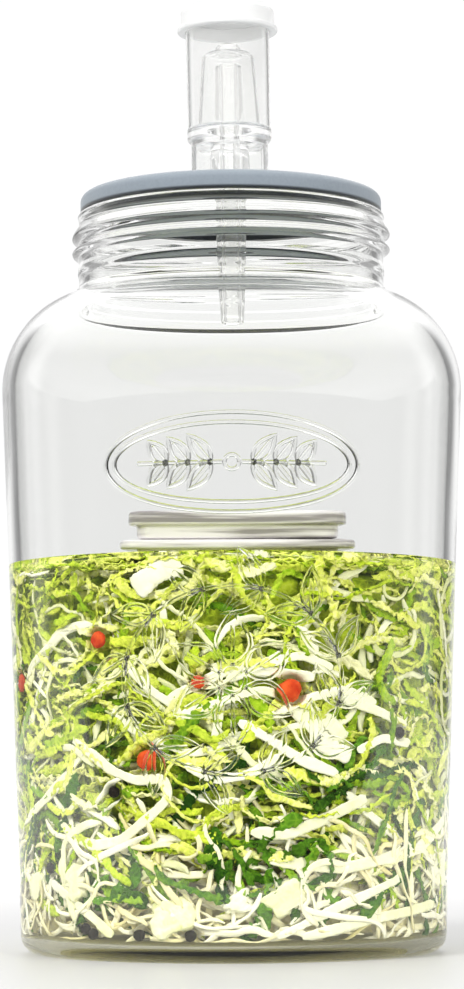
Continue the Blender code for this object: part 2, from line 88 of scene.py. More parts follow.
# Soft lid.
LID_RADIUS = 0.0572
LID_THICKNESS = 0.0071
LID_EDGE_ROUNDING = 0.0030
LID_WEB = 0.0042
LID_RECESS = 0.0008
PLUG_RADIUS = 0.0530
PLUG_DEPTH = 0.0020
PLUG_WALL = 0.0050
HUB_RADIUS = 0.0110
HUB_DEPTH = 0.0014

# Airlock.
AIRLOCK_LEAN = math.radians(0.8)
STEM_TIP_Z = 0.2380
STEM_TIP_RADIUS = 0.0043
STEM_RADIUS_AT_LID = 0.0062
STEM_BORE = 0.0026
CUP_BOTTOM_Z = 0.3045
CUP_FLOOR_Z = 0.3104
CUP_TOP_Z = 0.3541
CUP_RADIUS = 0.0158
CUP_TOP_RADIUS = 0.0161
CUP_WALL = 0.0012
CUP_BEAD = 0.0003
CHIMNEY_TOP_Z = 0.3358
CHIMNEY_RADIUS = 0.0056
SKIRT_RADIUS = 0.0146
SKIRT_WALL = 0.0012
SKIRT_FOOT = 0.0005
FIN_COUNT = 4
FIN_THICKNESS = 0.0012
FIN_TURN = math.radians(14)
BELL_FOOT_RADIUS = 0.0118
BELL_TOP_RADIUS = 0.0100
BELL_TOP_Z = 0.3406
BELL_CORNER = 0.0028
BELL_WALL = 0.0010
NUB_RADIUS = 0.0050
NUB_HEIGHT = 0.0037
CAP_BOTTOM_Z = 0.3487
CAP_TOP_Z = 0.3575
CAP_RADIUS = 0.0179
CAP_FLANGE_RADIUS = 0.0192
CAP_FLANGE_HEIGHT = 0.0018
CAP_TOP_PLATE = 0.0018
CAP_CORNER = 0.0014
CAP_PLUG_WALL = 0.0009
CAP_PLUG_DEPTH = 0.0024

# Half-moon weights.
WEIGHT_FLAT_Y = -0.010
WEIGHT_CENTRE_X = 0.0020
WEIGHT_EDGE = 0.0014
LOWER_WEIGHT = {"radius": 0.0449, "inset": 0.0070, "bottom": 0.1400, "lip": 0.1504, "top": 0.1537}
UPPER_WEIGHT = {"radius": 0.0415, "inset": 0.0032, "bottom": 0.1540, "lip": 0.1593, "top": 0.1645}

# Contents.
BRINE_Z = 0.1435
MENISCUS = 0.0013
INTO_WALL = 0.0003
CORE_SETBACK = 0.0100
CORE_TOP_Z = 0.1390
WET_IOR = 1.17
SHADE_FADE = 0.12
TOP_REACH = 0.0750
STALK_COLOURS = [(0.10, (0.60, 0.66, 0.26)), (0.45, (0.83, 0.85, 0.60)), (0.85, (0.96, 0.96, 0.88))]

# Berries and corns against the front glass: degrees to the right, height, radius.
CHILLIES = [(15.2, 0.0956, 0.0040), (-23.5, 0.0714, 0.0036), (-9.0, 0.0985, 0.0024),
            (-37.4, 0.1142, 0.0030), (110, 0.09, 0.0038), (200, 0.075, 0.0036), (285, 0.1, 0.0034)]
PEPPERCORN_PLACES = [(-33.4, 0.0601), (-59.3, 0.0327), (-44.2, 0.0115), (-41.5, 0.0098), (-26.4, 0.0098),
                     (-11.7, 0.0098), (50.0, 0.0809), (80, 0.04), (105, 0.011), (130, 0.07), (160, 0.010),
                     (190, 0.055), (220, 0.012), (255, 0.09)]
PEPPERCORNS = [(degrees, z, 0.0021) for degrees, z in PEPPERCORN_PLACES]

# The studio and its camera.
FLOOR_REACH = 12.0
FLOOR_FRONT_Y = -0.36
LENS = 114.45
CAMERA_PLACE = (0.0, -1.184, 0.0676)
CAMERA_TILT = math.radians(5.01)
CAMERA_ROLL = math.radians(-0.24)

FACE_CACHE = {}
draw = np.random.default_rng(SEED)


# Mesh helpers.

def add_piece(name, points, faces, material, slot, replaces=(), sharp=None):
    """Makes a smooth-shaded piece that rides on the part. Edges above sharp degrees stay hard."""
    mesh = bpy.data.meshes.new(name)
    mesh.from_pydata(np.asarray(points, float).tolist(), [], faces)
    mesh.validate()
    mesh.shade_smooth()
    if sharp:
        mesh.set_sharp_from_angle(angle=math.radians(sharp))
    mesh.materials.append(material)
    piece = bpy.data.objects.new(name, mesh)
    bpy.context.scene.collection.objects.link(piece)
    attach(piece, "root")
    if replaces:
        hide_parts(*replaces)
    return piece


def arc(centre_r, centre_z, radius, start, end, steps):
    """Points of a round corner from one angle to another, in degrees, both ends included."""
    angles = [math.radians(start + (end - start) * i / steps) for i in range(steps + 1)]
    return [(centre_r + radius * math.cos(a), centre_z + radius * math.sin(a)) for a in angles]


def bend(start, corner, end, steps):
    """Points of a smooth bend between two places, pulled towards a corner, both ends included."""
    shares = [i / steps for i in range(steps + 1)]
    return [tuple((1 - s) ** 2 * a + 2 * s * (1 - s) * b + s * s * c for a, b, c in zip(start, corner, end))
            for s in shares]


def lathe(profile, sides, closed=False, lift=None):
    """Points and faces of a turned surface. A profile point on the axis becomes one vertex."""
    angles = np.arange(sides) * math.tau / sides
    points, faces, rows = [], [], []
    total = 0
    for r, z in np.asarray(profile, float):
        if r < 1e-7:
            points.append(np.array([[0.0, 0.0, z]]))
            rows.append([total] * sides)
            total += 1
            continue
        radii = np.full(sides, r) if lift is None else r + lift(angles, r, z)
        points.append(np.stack([radii * np.cos(angles), radii * np.sin(angles), np.full(sides, z)], axis=1))
        rows.append(list(range(total, total + sides)))
        total += sides
    pairs = list(zip(rows, rows[1:]))
    if closed:
        pairs.append((rows[-1], rows[0]))
    for low, high in pairs:
        for j in range(sides):
            k = (j + 1) % sides
            corners = [low[j], low[k], high[k], high[j]]
            faces.append([c for i, c in enumerate(corners) if c != corners[i - 1]])
    return np.concatenate(points), faces


def capped_faces(rings, sides):
    """Faces between rings of points that follow each other, and the two ends."""
    faces = []
    for i in range(rings - 1):
        for j in range(sides):
            k = (j + 1) % sides
            faces.append([i * sides + j, i * sides + k, (i + 1) * sides + k, (i + 1) * sides + j])
    faces.append(list(range(sides))[::-1])
    faces.append([(rings - 1) * sides + j for j in range(sides)])
    return faces


def joined(parts):
    """One list of points and faces from several."""
    points, faces, total = [], [], 0
    for own_points, own_faces in parts:
        points.append(own_points)
        faces += [[c + total for c in face] for face in own_faces]
        total += len(own_points)
    return np.concatenate(points), faces


# Material helpers.

class NodeTree:
    """Short ways to add nodes to a material or a world and to feed them."""

    def __init__(self, tree):
        self.nodes, self.links = tree.nodes, tree.links

    def plug(self, socket, value):
        """Gives an input a plain value or another node's output."""
        if isinstance(value, bpy.types.NodeSocket):
            self.links.new(value, socket)
        else:
            socket.default_value = value

    def feed(self, node, **values):
        """Plugs values into inputs by their names, with _ for a space."""
        for name, value in values.items():
            self.plug(node.inputs[name.replace("_", " ")], value)

    def add(self, kind, **values):
        node = self.nodes.new("ShaderNode" + kind)
        self.feed(node, **values)
        return node

    def calculate(self, operation, *values):
        """Result of a Math node on plain values and other nodes' outputs."""
        node = self.add("Math")
        node.operation = operation
        for socket, value in zip(node.inputs, values):
            self.plug(socket, value)
        return node.outputs["Value"]

    def rise(self, source, start, end, strength=1.0):
        """Rises smoothly from nothing at start to a strength at end."""
        node = self.add("MapRange", Value=source, From_Min=start, From_Max=end, To_Max=strength)
        node.interpolation_type = "SMOOTHSTEP"
        return node.outputs["Result"]

    def ramp(self, source, stops):
        """Colour between stops, chosen by another node's output."""
        node = self.add("ValToRGB", Fac=source)
        elements = node.color_ramp.elements
        for index, (place, colour) in enumerate(stops):
            element = elements[index] if index < 2 else elements.new(place)
            element.position = place
            element.color = (*colour, 1.0)
        return node.outputs["Color"]


def new_material(name, **values):
    """A material with its nodes and its shader, which takes the values."""
    material = bpy.data.materials.new(name)
    material.use_nodes = True
    tree = NodeTree(material.node_tree)
    shader = tree.nodes["Principled BSDF"]
    tree.feed(shader, **values)
    return material, tree, shader


def add_bump(tree, shader, scale, strength, distance, detail=4.0, stretch=None):
    """Fine unevenness of a surface from noise, which is returned."""
    place = tree.add("TexCoord").outputs["Object"]
    if stretch:
        place = tree.add("Mapping", Vector=place, Scale=stretch).outputs["Vector"]
    grain = tree.add("TexNoise", Vector=place, Scale=scale, Detail=detail).outputs["Fac"]
    bump = tree.add("Bump", Strength=strength, Distance=distance, Height=grain)
    tree.feed(shader, Normal=bump.outputs["Normal"])
    return grain


def let_through(tree, shader, share, tint=(1.0, 1.0, 1.0)):
    """Lets a share of the light straight through a material."""
    open_way = tree.add("BsdfTransparent", Color=(*tint, 1.0))
    mix = tree.add("MixShader", Fac=share)
    tree.plug(mix.inputs[1], shader.outputs["BSDF"])
    tree.plug(mix.inputs[2], open_way.outputs["BSDF"])
    tree.feed(tree.nodes["Material Output"], Surface=mix.outputs["Shader"])


def clear_material(name, tint, ior, roughness, wave_scale, wave_distance, clear=1.0):
    """Glass, clear plastic or liquid that lets lamps and soft light straight through."""
    material, tree, shader = new_material(name, Base_Color=(*tint, 1.0), Roughness=roughness, IOR=ior,
                                          Transmission_Weight=clear)
    if wave_distance:
        add_bump(tree, shader, wave_scale, 0.5, wave_distance, detail=1.0)
    rays = tree.add("LightPath").outputs
    let_through(tree, shader, tree.calculate("MAXIMUM", rays["Is Shadow Ray"], rays["Is Diffuse Ray"]), tint)
    return material


# The glass.

def body_radius(z):
    """Outer radius of the glass body, which widens from the heel to the shoulder."""
    share = np.maximum(0.0, z) / SHOULDER_START_Z
    return BASE_RADIUS + (SHOULDER_RADIUS - BASE_RADIUS) * share**BODY_CURVE


def shoulder_point(r, inset=0.0):
    """Point of the shoulder's ellipse at outer radius r, moved inwards square to the curve."""
    wide = SHOULDER_RADIUS - SHOULDER_CENTRE_RADIUS
    angle = math.acos(min(1.0, (r - SHOULDER_CENTRE_RADIUS) / wide))
    normal = Vector((math.cos(angle) / wide, math.sin(angle) / SHOULDER_HEIGHT)).normalized()
    z = SHOULDER_START_Z + SHOULDER_HEIGHT * math.sin(angle)
    return (r - inset * normal.x, z - inset * normal.y)


def shoulder_radii(steps):
    span = SHOULDER_RADIUS - NECK_FOOT_RADIUS
    return [NECK_FOOT_RADIUS + span * math.sin(math.pi / 2 * i / steps) for i in range(steps + 1)]


def thread_height(angles, z):
    """How far the thread stands out of the neck. Each start is one slow turn that fades at the back."""
    turn = ((angles - math.pi / 2) % math.tau) / math.tau
    fade = np.minimum(1.0, np.minimum(turn, 1.0 - turn) / THREAD_FADE)
    height = np.zeros(len(angles))
    for tip_z, upper_flank in THREAD_STARTS:
        above = z - (tip_z + THREAD_LEAD * (turn - 0.5))
        reach = np.where(above > 0, upper_flank, THREAD_LOWER_FLANK)
        share = np.clip(1.0 - np.abs(above) / reach, 0.0, 1.0)
        rounded = share * share * (3 - 2 * share)
        height = np.maximum(height, THREAD_DEPTH * fade * rounded)
    return height


def leaf_outline(u, z, turn, length, width):
    """A pointed leaf from its stalk end at (u, z), as a closed line with its middle vein."""
    along = np.concatenate([np.linspace(0, 1, 9), np.linspace(1, 0, 9)[1:]])
    side = np.concatenate([np.ones(9), -np.ones(8)])
    across = side * width / 2 * np.sin(math.pi * along**0.8)
    c, s = math.cos(turn), math.sin(turn)
    outline = np.stack([u + length * along * c - across * s, z + length * along * s + across * c], axis=1)
    vein = np.array([(u, z), (u + 0.75 * length * c, z + 0.75 * length * s)])
    return [outline, vein]


def oval(u, z, wide, high, steps=72):
    turn = np.linspace(0, math.tau, steps + 1)
    return np.stack([u + wide * np.cos(turn), z + high * np.sin(turn)], axis=1)


def pattern_lines():
    """The raised pattern on the front: an oval panel with a sprig, over a wreath with a flower."""
    middle, centre = PANEL_Z, WREATH_Z
    lines = [oval(0, middle, 0.0470, 0.0175), oval(0, middle, 0.0435, 0.0140)]
    for side in (1, -1):
        lines.append(np.array([(side * 0.0035, middle), (side * 0.034, middle)]))
        for i in range(3):
            foot, length = side * (0.0075 + 0.0080 * i), 0.0125 - 0.0012 * i
            for lean in (1, -1):
                turn = (0 if side > 0 else math.pi) + side * lean * math.radians(50)
                lines += leaf_outline(foot, middle, turn, length, 0.0056)
    lines.append(oval(0, middle, 0.0026, 0.0026, 20))
    lines.append(oval(0, centre, 0.0400, 0.0330))
    for i in range(12):
        turn = math.tau * (i + 0.5) / 12
        u, z = 0.0400 * math.cos(turn), centre + 0.0330 * math.sin(turn)
        for lean in (0.8, -0.8):
            lines += leaf_outline(u, z, turn + math.pi / 2 + lean, 0.0165, 0.0072)
    for i in range(6):
        turn = math.tau * (i + 0.5) / 6
        lines += leaf_outline(0.005 * math.cos(turn), centre + 0.005 * math.sin(turn), turn, 0.0190, 0.0120)
    lines.append(oval(0, centre, 0.0044, 0.0044, 24))
    return lines


def make_pattern(glass):
    """Each line of the pattern as a half-round cord of glass on the outside of the body."""
    section = [(math.cos(a), math.sin(a)) for a in np.linspace(0, math.pi, 9)]
    section += [(-1.0, -0.25), (1.0, -0.25)]
    parts = []
    for line in pattern_lines():
        along = np.gradient(line, axis=0)
        along /= np.maximum(np.linalg.norm(along, axis=1, keepdims=True), 1e-9)
        points = []
        for (u, z), (du, dz) in zip(line, along):
            for across, out in section:
                place = u - dz * across * CORD_HALF_WIDTH, z + du * across * CORD_HALF_WIDTH
                reach = body_radius(place[1])
                angle = place[0] / reach - math.pi / 2
                reach += out * CORD_HEIGHT
                points.append((reach * math.cos(angle), reach * math.sin(angle), place[1]))
        parts.append((np.array(points), capped_faces(len(line), len(section))))
    add_piece("raised_pattern", *joined(parts), glass, "glass", (), 50.0)


def jar_profile():
    """The glass's section from the axis under the base, up the outside and down the inside."""
    outside = [(0.0, BASE_PUSH_UP), (0.030, BASE_PUSH_UP), (FOOT_RING_INNER - 0.010, BASE_PUSH_UP * 0.8)]
    outside += [(FOOT_RING_INNER - 0.002, 0.0004), (FOOT_RING_INNER, 0.0), (FOOT_RING_INNER + 0.004, 0.0)]
    outside += arc(body_radius(FOOT_CORNER) - FOOT_CORNER, FOOT_CORNER, FOOT_CORNER, -90, 0, 12)
    outside += [(body_radius(z), z) for z in np.arange(0.010, 0.209, 0.004)]
    outside += [shoulder_point(r) for r in reversed(shoulder_radii(28))]
    outside += arc(NECK_RADIUS + 0.0016, 0.2500, 0.0016, -120, -180, 4)
    outside += [(NECK_RADIUS, z) for z in (0.2525, 0.2540)]
    outside += [(NECK_RADIUS + 0.0003, 0.2543), (NECK_RADIUS + 0.0003, 0.2570)]
    outside += [(NECK_RADIUS, z) for z in np.arange(0.2580, 0.2752, 0.0005)]
    rim_centre = NECK_RADIUS + 0.0004 - RIM_ROUNDING
    outside += arc(rim_centre, RIM_Z - RIM_ROUNDING, RIM_ROUNDING, 0, 90, 6)
    bore = NECK_RADIUS - NECK_WALL
    inside = arc(bore + RIM_ROUNDING, RIM_Z - RIM_ROUNDING, RIM_ROUNDING, 110, 180, 5)
    inside += [(bore, z) for z in (0.272, 0.266, 0.260, 0.2540)]
    inside += bend((bore, 0.2493), (bore, 0.2448), (0.0578, 0.2430), 10)
    inside += [shoulder_point(r, WALL) for r in shoulder_radii(26) if r > 0.0606]
    inside += [(body_radius(z) - WALL, z) for z in np.arange(0.204, 0.014, -0.006)]
    corner = HEEL_RADIUS - WALL
    heel_r = body_radius(HEEL_RADIUS) - HEEL_RADIUS
    inside += arc(heel_r, FLOOR_THICKNESS + corner, corner, 0, -90, 8)
    inside += [(0.050, FLOOR_THICKNESS + 0.0004), (0.025, FLOOR_THICKNESS + 0.0010)]
    inside.append((0.0, FLOOR_THICKNESS + 0.0014))
    return outside, inside


def make_jar():
    """The glass with its thread, and the raised pattern on its front."""
    outside, inside = jar_profile()

    def lift(at, r, z):
        if 0.257 < z < 0.276 and abs(r - NECK_RADIUS) < 1e-4:
            return thread_height(at, z)
        return np.zeros(len(at))

    glass = clear_material("clear_glass", (0.985, 0.988, 0.980), 1.50, 0.0, 14.0, 0.0005)
    add_piece("glass_jar", *lathe(outside + inside, GLASS_SIDES, lift=lift), glass, "glass", ("jar",))
    make_pattern(glass)


# The soft lid.

def stem_radius(z):
    share = (z - STEM_TIP_Z) / (RIM_Z - STEM_TIP_Z)
    return STEM_TIP_RADIUS + (STEM_RADIUS_AT_LID - STEM_TIP_RADIUS) * share


def make_lid():
    """A thick soft disc with a shallow ring under it and a hole for the stem, with painted shade underneath.
    """
    under = RIM_Z + GAP
    top = under + LID_THICKNESS
    hole = stem_radius(under) + GAP + 0.0002
    edge = LID_EDGE_ROUNDING
    ring = PLUG_RADIUS - PLUG_WALL
    loop = [(hole, under - HUB_DEPTH), (HUB_RADIUS - 0.0012, under - HUB_DEPTH), (HUB_RADIUS, top - LID_WEB)]
    loop += [(ring, top - LID_WEB), (ring, under - PLUG_DEPTH)]
    loop += arc(PLUG_RADIUS - 0.0008, under - PLUG_DEPTH + 0.0008, 0.0008, -90, 0, 4)
    loop += [(PLUG_RADIUS, under)]
    loop += arc(LID_RADIUS - 0.0012, under + 0.0012, 0.0012, -90, 0, 4)
    loop += arc(LID_RADIUS - edge, top - edge, edge, 0, 90, 10)
    loop += [(0.040, top), (0.025, top), (HUB_RADIUS + 0.0030, top), (HUB_RADIUS + 0.0012, top - 0.0003)]
    low = top - LID_RECESS
    loop += [(HUB_RADIUS, low), (hole + 0.0008, low), (hole, low - 0.0006)]
    material, tree, shader = new_material("soft_lid", Roughness=0.48, Sheen_Weight=0.25)
    grain = add_bump(tree, shader, 900.0, 0.12, 0.0003, detail=6.0)
    tone = tree.ramp(grain, [(0.3, (0.205, 0.237, 0.270)), (0.7, (0.226, 0.262, 0.297))])
    # Painted shade: below a line just over the lid's underside the colour turns near-black, standing in for
    # the shade on the underside, the plug, the hub and the lowest strip of the side.
    place = tree.add("NewGeometry").outputs["Position"]
    height = tree.add("SeparateXYZ", Vector=place).outputs["Z"]
    above = tree.add("MapRange", Value=height, From_Min=under + 0.0006, From_Max=under + 0.0014)
    tone_with_painted_shade = tree.add("Mix")
    tone_with_painted_shade.data_type = "RGBA"
    tree.feed(tone_with_painted_shade, Factor=above.outputs["Result"], A=(0.016, 0.022, 0.030, 1.0), B=tone)
    tree.feed(shader, Base_Color=tone_with_painted_shade.outputs["Result"])
    disc = lathe(loop, LID_SIDES, closed=True)
    add_piece("soft_lid", *disc, material, "silicone", ("lid",), 35.0)


# The airlock.

def leaning(points):
    """Tips airlock points about the middle of the rim."""
    points = np.asarray(points, float)
    c, s = math.cos(-AIRLOCK_LEAN), math.sin(-AIRLOCK_LEAN)
    x, z = points[:, 0], points[:, 2] - RIM_Z
    return np.stack([x * c + z * s, points[:, 1], RIM_Z - x * s + z * c], axis=1)


def turned(points, angle):
    """Points turned about the upright axis."""
    c, s = math.cos(angle), math.sin(angle)
    x, y = points[:, 0], points[:, 1]
    return np.stack([x * c - y * s, x * s + y * c, points[:, 2]], axis=1)


def block(centre, size, turn):
    """Points and faces of a straight-sided block, turned about the upright axis."""
    square = ((-0.5, -0.5), (0.5, -0.5), (0.5, 0.5), (-0.5, 0.5))
    corners = np.array([(x, y, z) for z in (-0.5, 0.5) for x, y in square])
    corners = corners * np.array(size) + np.array(centre)
    faces = [[3, 2, 1, 0], [4, 5, 6, 7]]
    faces += [[i, (i + 1) % 4, (i + 1) % 4 + 4, i + 4] for i in range(4)]
    return turned(corners, turn), faces


def make_cup(material):
    """The cup with its stem, ring skirt and inner chimney, turned in one."""
    bore = STEM_BORE
    top = CHIMNEY_TOP_Z
    loop = [(bore, STEM_TIP_Z + 0.0008), (bore + 0.0006, STEM_TIP_Z)]
    loop += [(STEM_TIP_RADIUS - 0.0004, STEM_TIP_Z), (STEM_TIP_RADIUS, STEM_TIP_Z + 0.0006)]
    loop += [(stem_radius(z), z) for z in (0.245, 0.255, 0.265, RIM_Z, 0.290, 0.298, CUP_BOTTOM_Z)]
    loop += [(SKIRT_RADIUS - 0.0022, CUP_BOTTOM_Z + 0.0004), (SKIRT_RADIUS - 0.0016, CUP_BOTTOM_Z - 0.0004)]
    low = RIM_Z + GAP + LID_THICKNESS + GAP
    loop += [(SKIRT_RADIUS - SKIRT_WALL, low + 0.002), (SKIRT_RADIUS - SKIRT_WALL, low)]
    loop += [(SKIRT_RADIUS + SKIRT_FOOT, low), (SKIRT_RADIUS + SKIRT_FOOT, low + 0.0008)]
    loop += [(SKIRT_RADIUS, low + 0.0016), (SKIRT_RADIUS, CUP_BOTTOM_Z - 0.0006)]
    loop += arc(CUP_RADIUS + CUP_BEAD - 0.0026, CUP_BOTTOM_Z + 0.0036, 0.0026, -60, 0, 6)
    loop += [(CUP_RADIUS + CUP_BEAD, CUP_FLOOR_Z + 0.0004), (CUP_RADIUS, CUP_FLOOR_Z + 0.0009)]
    loop += [(CUP_RADIUS + 0.0001, CUP_FLOOR_Z + 0.010), (CUP_TOP_RADIUS, CUP_TOP_Z - 0.0003)]
    loop += [(CUP_TOP_RADIUS - CUP_WALL / 2, CUP_TOP_Z), (CUP_TOP_RADIUS - CUP_WALL, CUP_TOP_Z - 0.0003)]
    loop += arc(CUP_RADIUS - CUP_WALL - 0.0015, CUP_FLOOR_Z + 0.0015, 0.0015, 0, -90, 5)
    loop += arc(CHIMNEY_RADIUS + 0.0008, CUP_FLOOR_Z + 0.0008, 0.0008, -90, -180, 3)
    loop += [(CHIMNEY_RADIUS - 0.0006, top - 0.0004), (CHIMNEY_RADIUS - 0.0010, top), (bore + 0.0003, top)]
    loop += [(bore, top - 0.0004)]
    points, faces = lathe(loop, CUP_SIDES, closed=True)
    add_piece("airlock_body", leaning(points), faces, material, "clear_plastic", ("airlock_cup",), 30.0)


def make_fins(material):
    """The upright fins that brace the stem inside the skirt."""
    low = RIM_Z + GAP + LID_THICKNESS + 0.0012
    high = CUP_BOTTOM_Z - 0.0001
    inner = stem_radius(high) + 0.0002
    outer = SKIRT_RADIUS - SKIRT_WALL - 0.0001
    centre = ((outer + inner) / 2, 0, (high + low) / 2)
    size = (outer - inner, FIN_THICKNESS, high - low)
    turns = [FIN_TURN + math.tau * i / FIN_COUNT for i in range(FIN_COUNT)]
    points, faces = joined([block(centre, size, turn) for turn in turns])
    add_piece("airlock_fins", leaning(points), faces, material, "clear_plastic", (), 30.0)


def make_bell(material):
    """The float over the chimney: a thin bell with a nub on top."""
    foot = CUP_FLOOR_Z + GAP
    corner = BELL_CORNER
    top = BELL_TOP_Z
    loop = [(0.0, top - BELL_WALL)]
    loop += arc(BELL_TOP_RADIUS - corner, top - corner, corner - BELL_WALL, 90, 0, 6)
    loop += [(BELL_FOOT_RADIUS - BELL_WALL, foot), (BELL_FOOT_RADIUS, foot)]
    loop += arc(BELL_TOP_RADIUS - corner, top - corner, corner, 0, 90, 8)
    loop += [(NUB_RADIUS + 0.0004, top), (NUB_RADIUS, top + 0.0005)]
    nub = ((0.96, 0.5), (0.75, 0.85), (0.4, 1.0), (0.0, 1.0))
    loop += [(NUB_RADIUS * wide, top + NUB_HEIGHT * high) for wide, high in nub]
    points, faces = lathe(loop, BELL_SIDES)
    add_piece("airlock_float", leaning(points), faces, material, "clear_plastic", ("airlock_bell",), 30.0)


def make_cap():
    """The milky cap: a flanged lid over the cup's rim with a short plug inside it."""
    inner_top = CAP_TOP_Z - CAP_TOP_PLATE
    grip = CUP_TOP_RADIUS + GAP
    plug = CUP_TOP_RADIUS - CUP_WALL - GAP - 0.0001
    loop = [(0.0, inner_top), (plug - CAP_PLUG_WALL, inner_top)]
    loop += [(plug - CAP_PLUG_WALL, inner_top - CAP_PLUG_DEPTH), (plug, inner_top - CAP_PLUG_DEPTH)]
    loop += [(plug, inner_top), (grip, inner_top), (grip, CAP_BOTTOM_Z)]
    loop += arc(CAP_FLANGE_RADIUS - 0.0006, CAP_BOTTOM_Z + 0.0006, 0.0006, -90, 0, 3)
    loop += arc(CAP_FLANGE_RADIUS - 0.0005, CAP_BOTTOM_Z + CAP_FLANGE_HEIGHT - 0.0005, 0.0005, 0, 80, 3)
    loop += [(CAP_RADIUS + 0.0003, CAP_BOTTOM_Z + CAP_FLANGE_HEIGHT + 0.0002)]
    loop += [(CAP_RADIUS, CAP_BOTTOM_Z + CAP_FLANGE_HEIGHT + 0.0008)]
    loop += arc(CAP_RADIUS - CAP_CORNER, CAP_TOP_Z - CAP_CORNER, CAP_CORNER, 0, 90, 6)
    loop += [(0.010, CAP_TOP_Z), (0.0, CAP_TOP_Z)]
    material, tree, shader = new_material("milky_cap", Base_Color=(0.84, 0.84, 0.835, 1.0), Roughness=0.30)
    tree.feed(shader, Subsurface_Weight=0.3, Subsurface_Radius=(1.0, 1.0, 1.0), Subsurface_Scale=0.004)
    add_bump(tree, shader, 500.0, 0.1, 0.0002)
    let_through(tree, shader, 0.42)
    points, faces = lathe(loop, CUP_SIDES)
    add_piece("airlock_lid", leaning(points), faces, material, "frosted_plastic", ("airlock_cap",), 30.0)


def make_airlock():
    """Three clear pieces and the cap."""
    clear = clear_material("clear_plastic", (0.985, 0.985, 0.98), 1.45, 0.02, 60.0, 0.0001, 0.92)
    make_cup(clear)
    make_fins(clear)
    make_bell(clear)
    make_cap()


# The weights.

def half_moon(radius, inset, steps=48):
    """Plan of a half-moon weight, flat side at the front, corners rounded, drawn in by an inset."""
    corner = 0.0045
    r = radius - inset
    flat = WEIGHT_FLAT_Y + inset * 0.6
    angles = np.linspace(math.radians(9), math.pi - math.radians(9), steps)
    points = [(r * math.cos(a), WEIGHT_FLAT_Y + r * math.sin(a)) for a in angles]
    end_x, end_y = points[-1]
    for share in (0.35, 0.6, 0.8, 0.93, 1.0):
        turn = share * math.pi / 2
        points.append((end_x + corner * (1 - math.cos(turn)), end_y + (flat - end_y) * math.sin(turn)))
    left = points[steps:]
    points += [(-x, y) for x, y in reversed(left)]
    return [(x + WEIGHT_CENTRE_X, y) for x, y in points]


def make_weight(name, node, size, material):
    """A half-moon weight built up in levels, with a lip round its top."""
    low, lip, high, edge = size["bottom"], size["lip"], size["top"], WEIGHT_EDGE
    body = size["inset"]
    levels = [(low, body + edge * 1.6), (low + edge * 0.3, body + edge * 0.4), (low + edge, body)]
    levels += [(lip - edge * 0.6, body), (lip - edge * 0.1, body - edge * 0.3), (lip, body - edge)]
    levels += [(lip, edge * 0.7), (lip + edge * 0.2, edge * 0.2), (lip + edge * 0.6, 0.0)]
    levels += [(high - edge, 0.0), (high - edge * 0.4, edge * 0.15)]
    levels += [(high - edge * 0.1, edge * 0.5), (high, edge * 1.1)]
    rings = [[(x, y, z) for x, y in half_moon(size["radius"], inset)] for z, inset in levels]
    points, faces = sum(rings, []), capped_faces(len(rings), len(rings[0]))
    add_piece(name, points, faces, material, "ceramic", (node,), 40.0)


def make_weights():
    """Both weights, in a pale glaze whose colour carries painted reflections: dark and light bands along its
    width.
    """
    material, tree, shader = new_material("pale_glaze", Roughness=0.28, Coat_Weight=0.5)
    grain = add_bump(tree, shader, 60.0, 0.15, 0.0004, detail=6.0, stretch=(0.35, 0.35, 7.0))
    # Painted reflection and shade: stretched noise makes dark and light bands along each weight, standing in
    # for the studio panels mirrored in its glaze.
    stops = [(0.40, (0.26, 0.24, 0.24)), (0.50, (0.57, 0.54, 0.545)), (0.60, (0.76, 0.73, 0.74))]
    tree.feed(shader, Base_Color=tree.ramp(grain, stops))
    make_weight("weight_below", "weight_lower", LOWER_WEIGHT, material)
    make_weight("weight_above", "weight_upper", UPPER_WEIGHT, material)


# The brine.

def inner_radius(z):
    """Inner radius of the glass, with its rounded corner at the floor."""
    z = np.asarray(z, float)
    corner = HEEL_RADIUS - WALL
    rise = np.clip(z - FLOOR_THICKNESS, 0.0, corner)
    pulled_in = corner - np.sqrt(np.maximum(0.0, corner**2 - (corner - rise) ** 2))
    return body_radius(z) - WALL - pulled_in


def make_brine():
    """The liquid, which reaches just into the glass and curls up at its edge."""
    corner = HEEL_RADIUS - WALL + INTO_WALL
    heel_r = body_radius(HEEL_RADIUS) - HEEL_RADIUS
    floor = FLOOR_THICKNESS - INTO_WALL
    loop = [(0.0, floor + 0.0014), (0.025, floor + 0.0010), (0.050, floor + 0.0004)]
    loop += arc(heel_r, floor + corner, corner, -90, 0, 8)
    loop += [(body_radius(z) - WALL + INTO_WALL, z) for z in np.arange(0.014, BRINE_Z - 0.003, 0.006)]
    rim_r = body_radius(BRINE_Z) - WALL + INTO_WALL
    loop += [(rim_r, BRINE_Z - 0.001), (rim_r, BRINE_Z + MENISCUS)]
    for away, share in ((0.0004, 0.80), (0.0009, 0.45), (0.0016, 0.20), (0.0026, 0.06), (0.0045, 0.0)):
        loop.append((rim_r - INTO_WALL - away, BRINE_Z + MENISCUS * share))
    loop += [(0.060, BRINE_Z), (0.030, BRINE_Z), (0.0, BRINE_Z)]
    liquid = clear_material("pale_brine", (1.0, 0.990, 0.850), 1.335, 0.0, 0.0, 0.0)
    add_piece("brine", *lathe(loop, BRINE_SIDES), liquid, "glass")


# The cabbage.

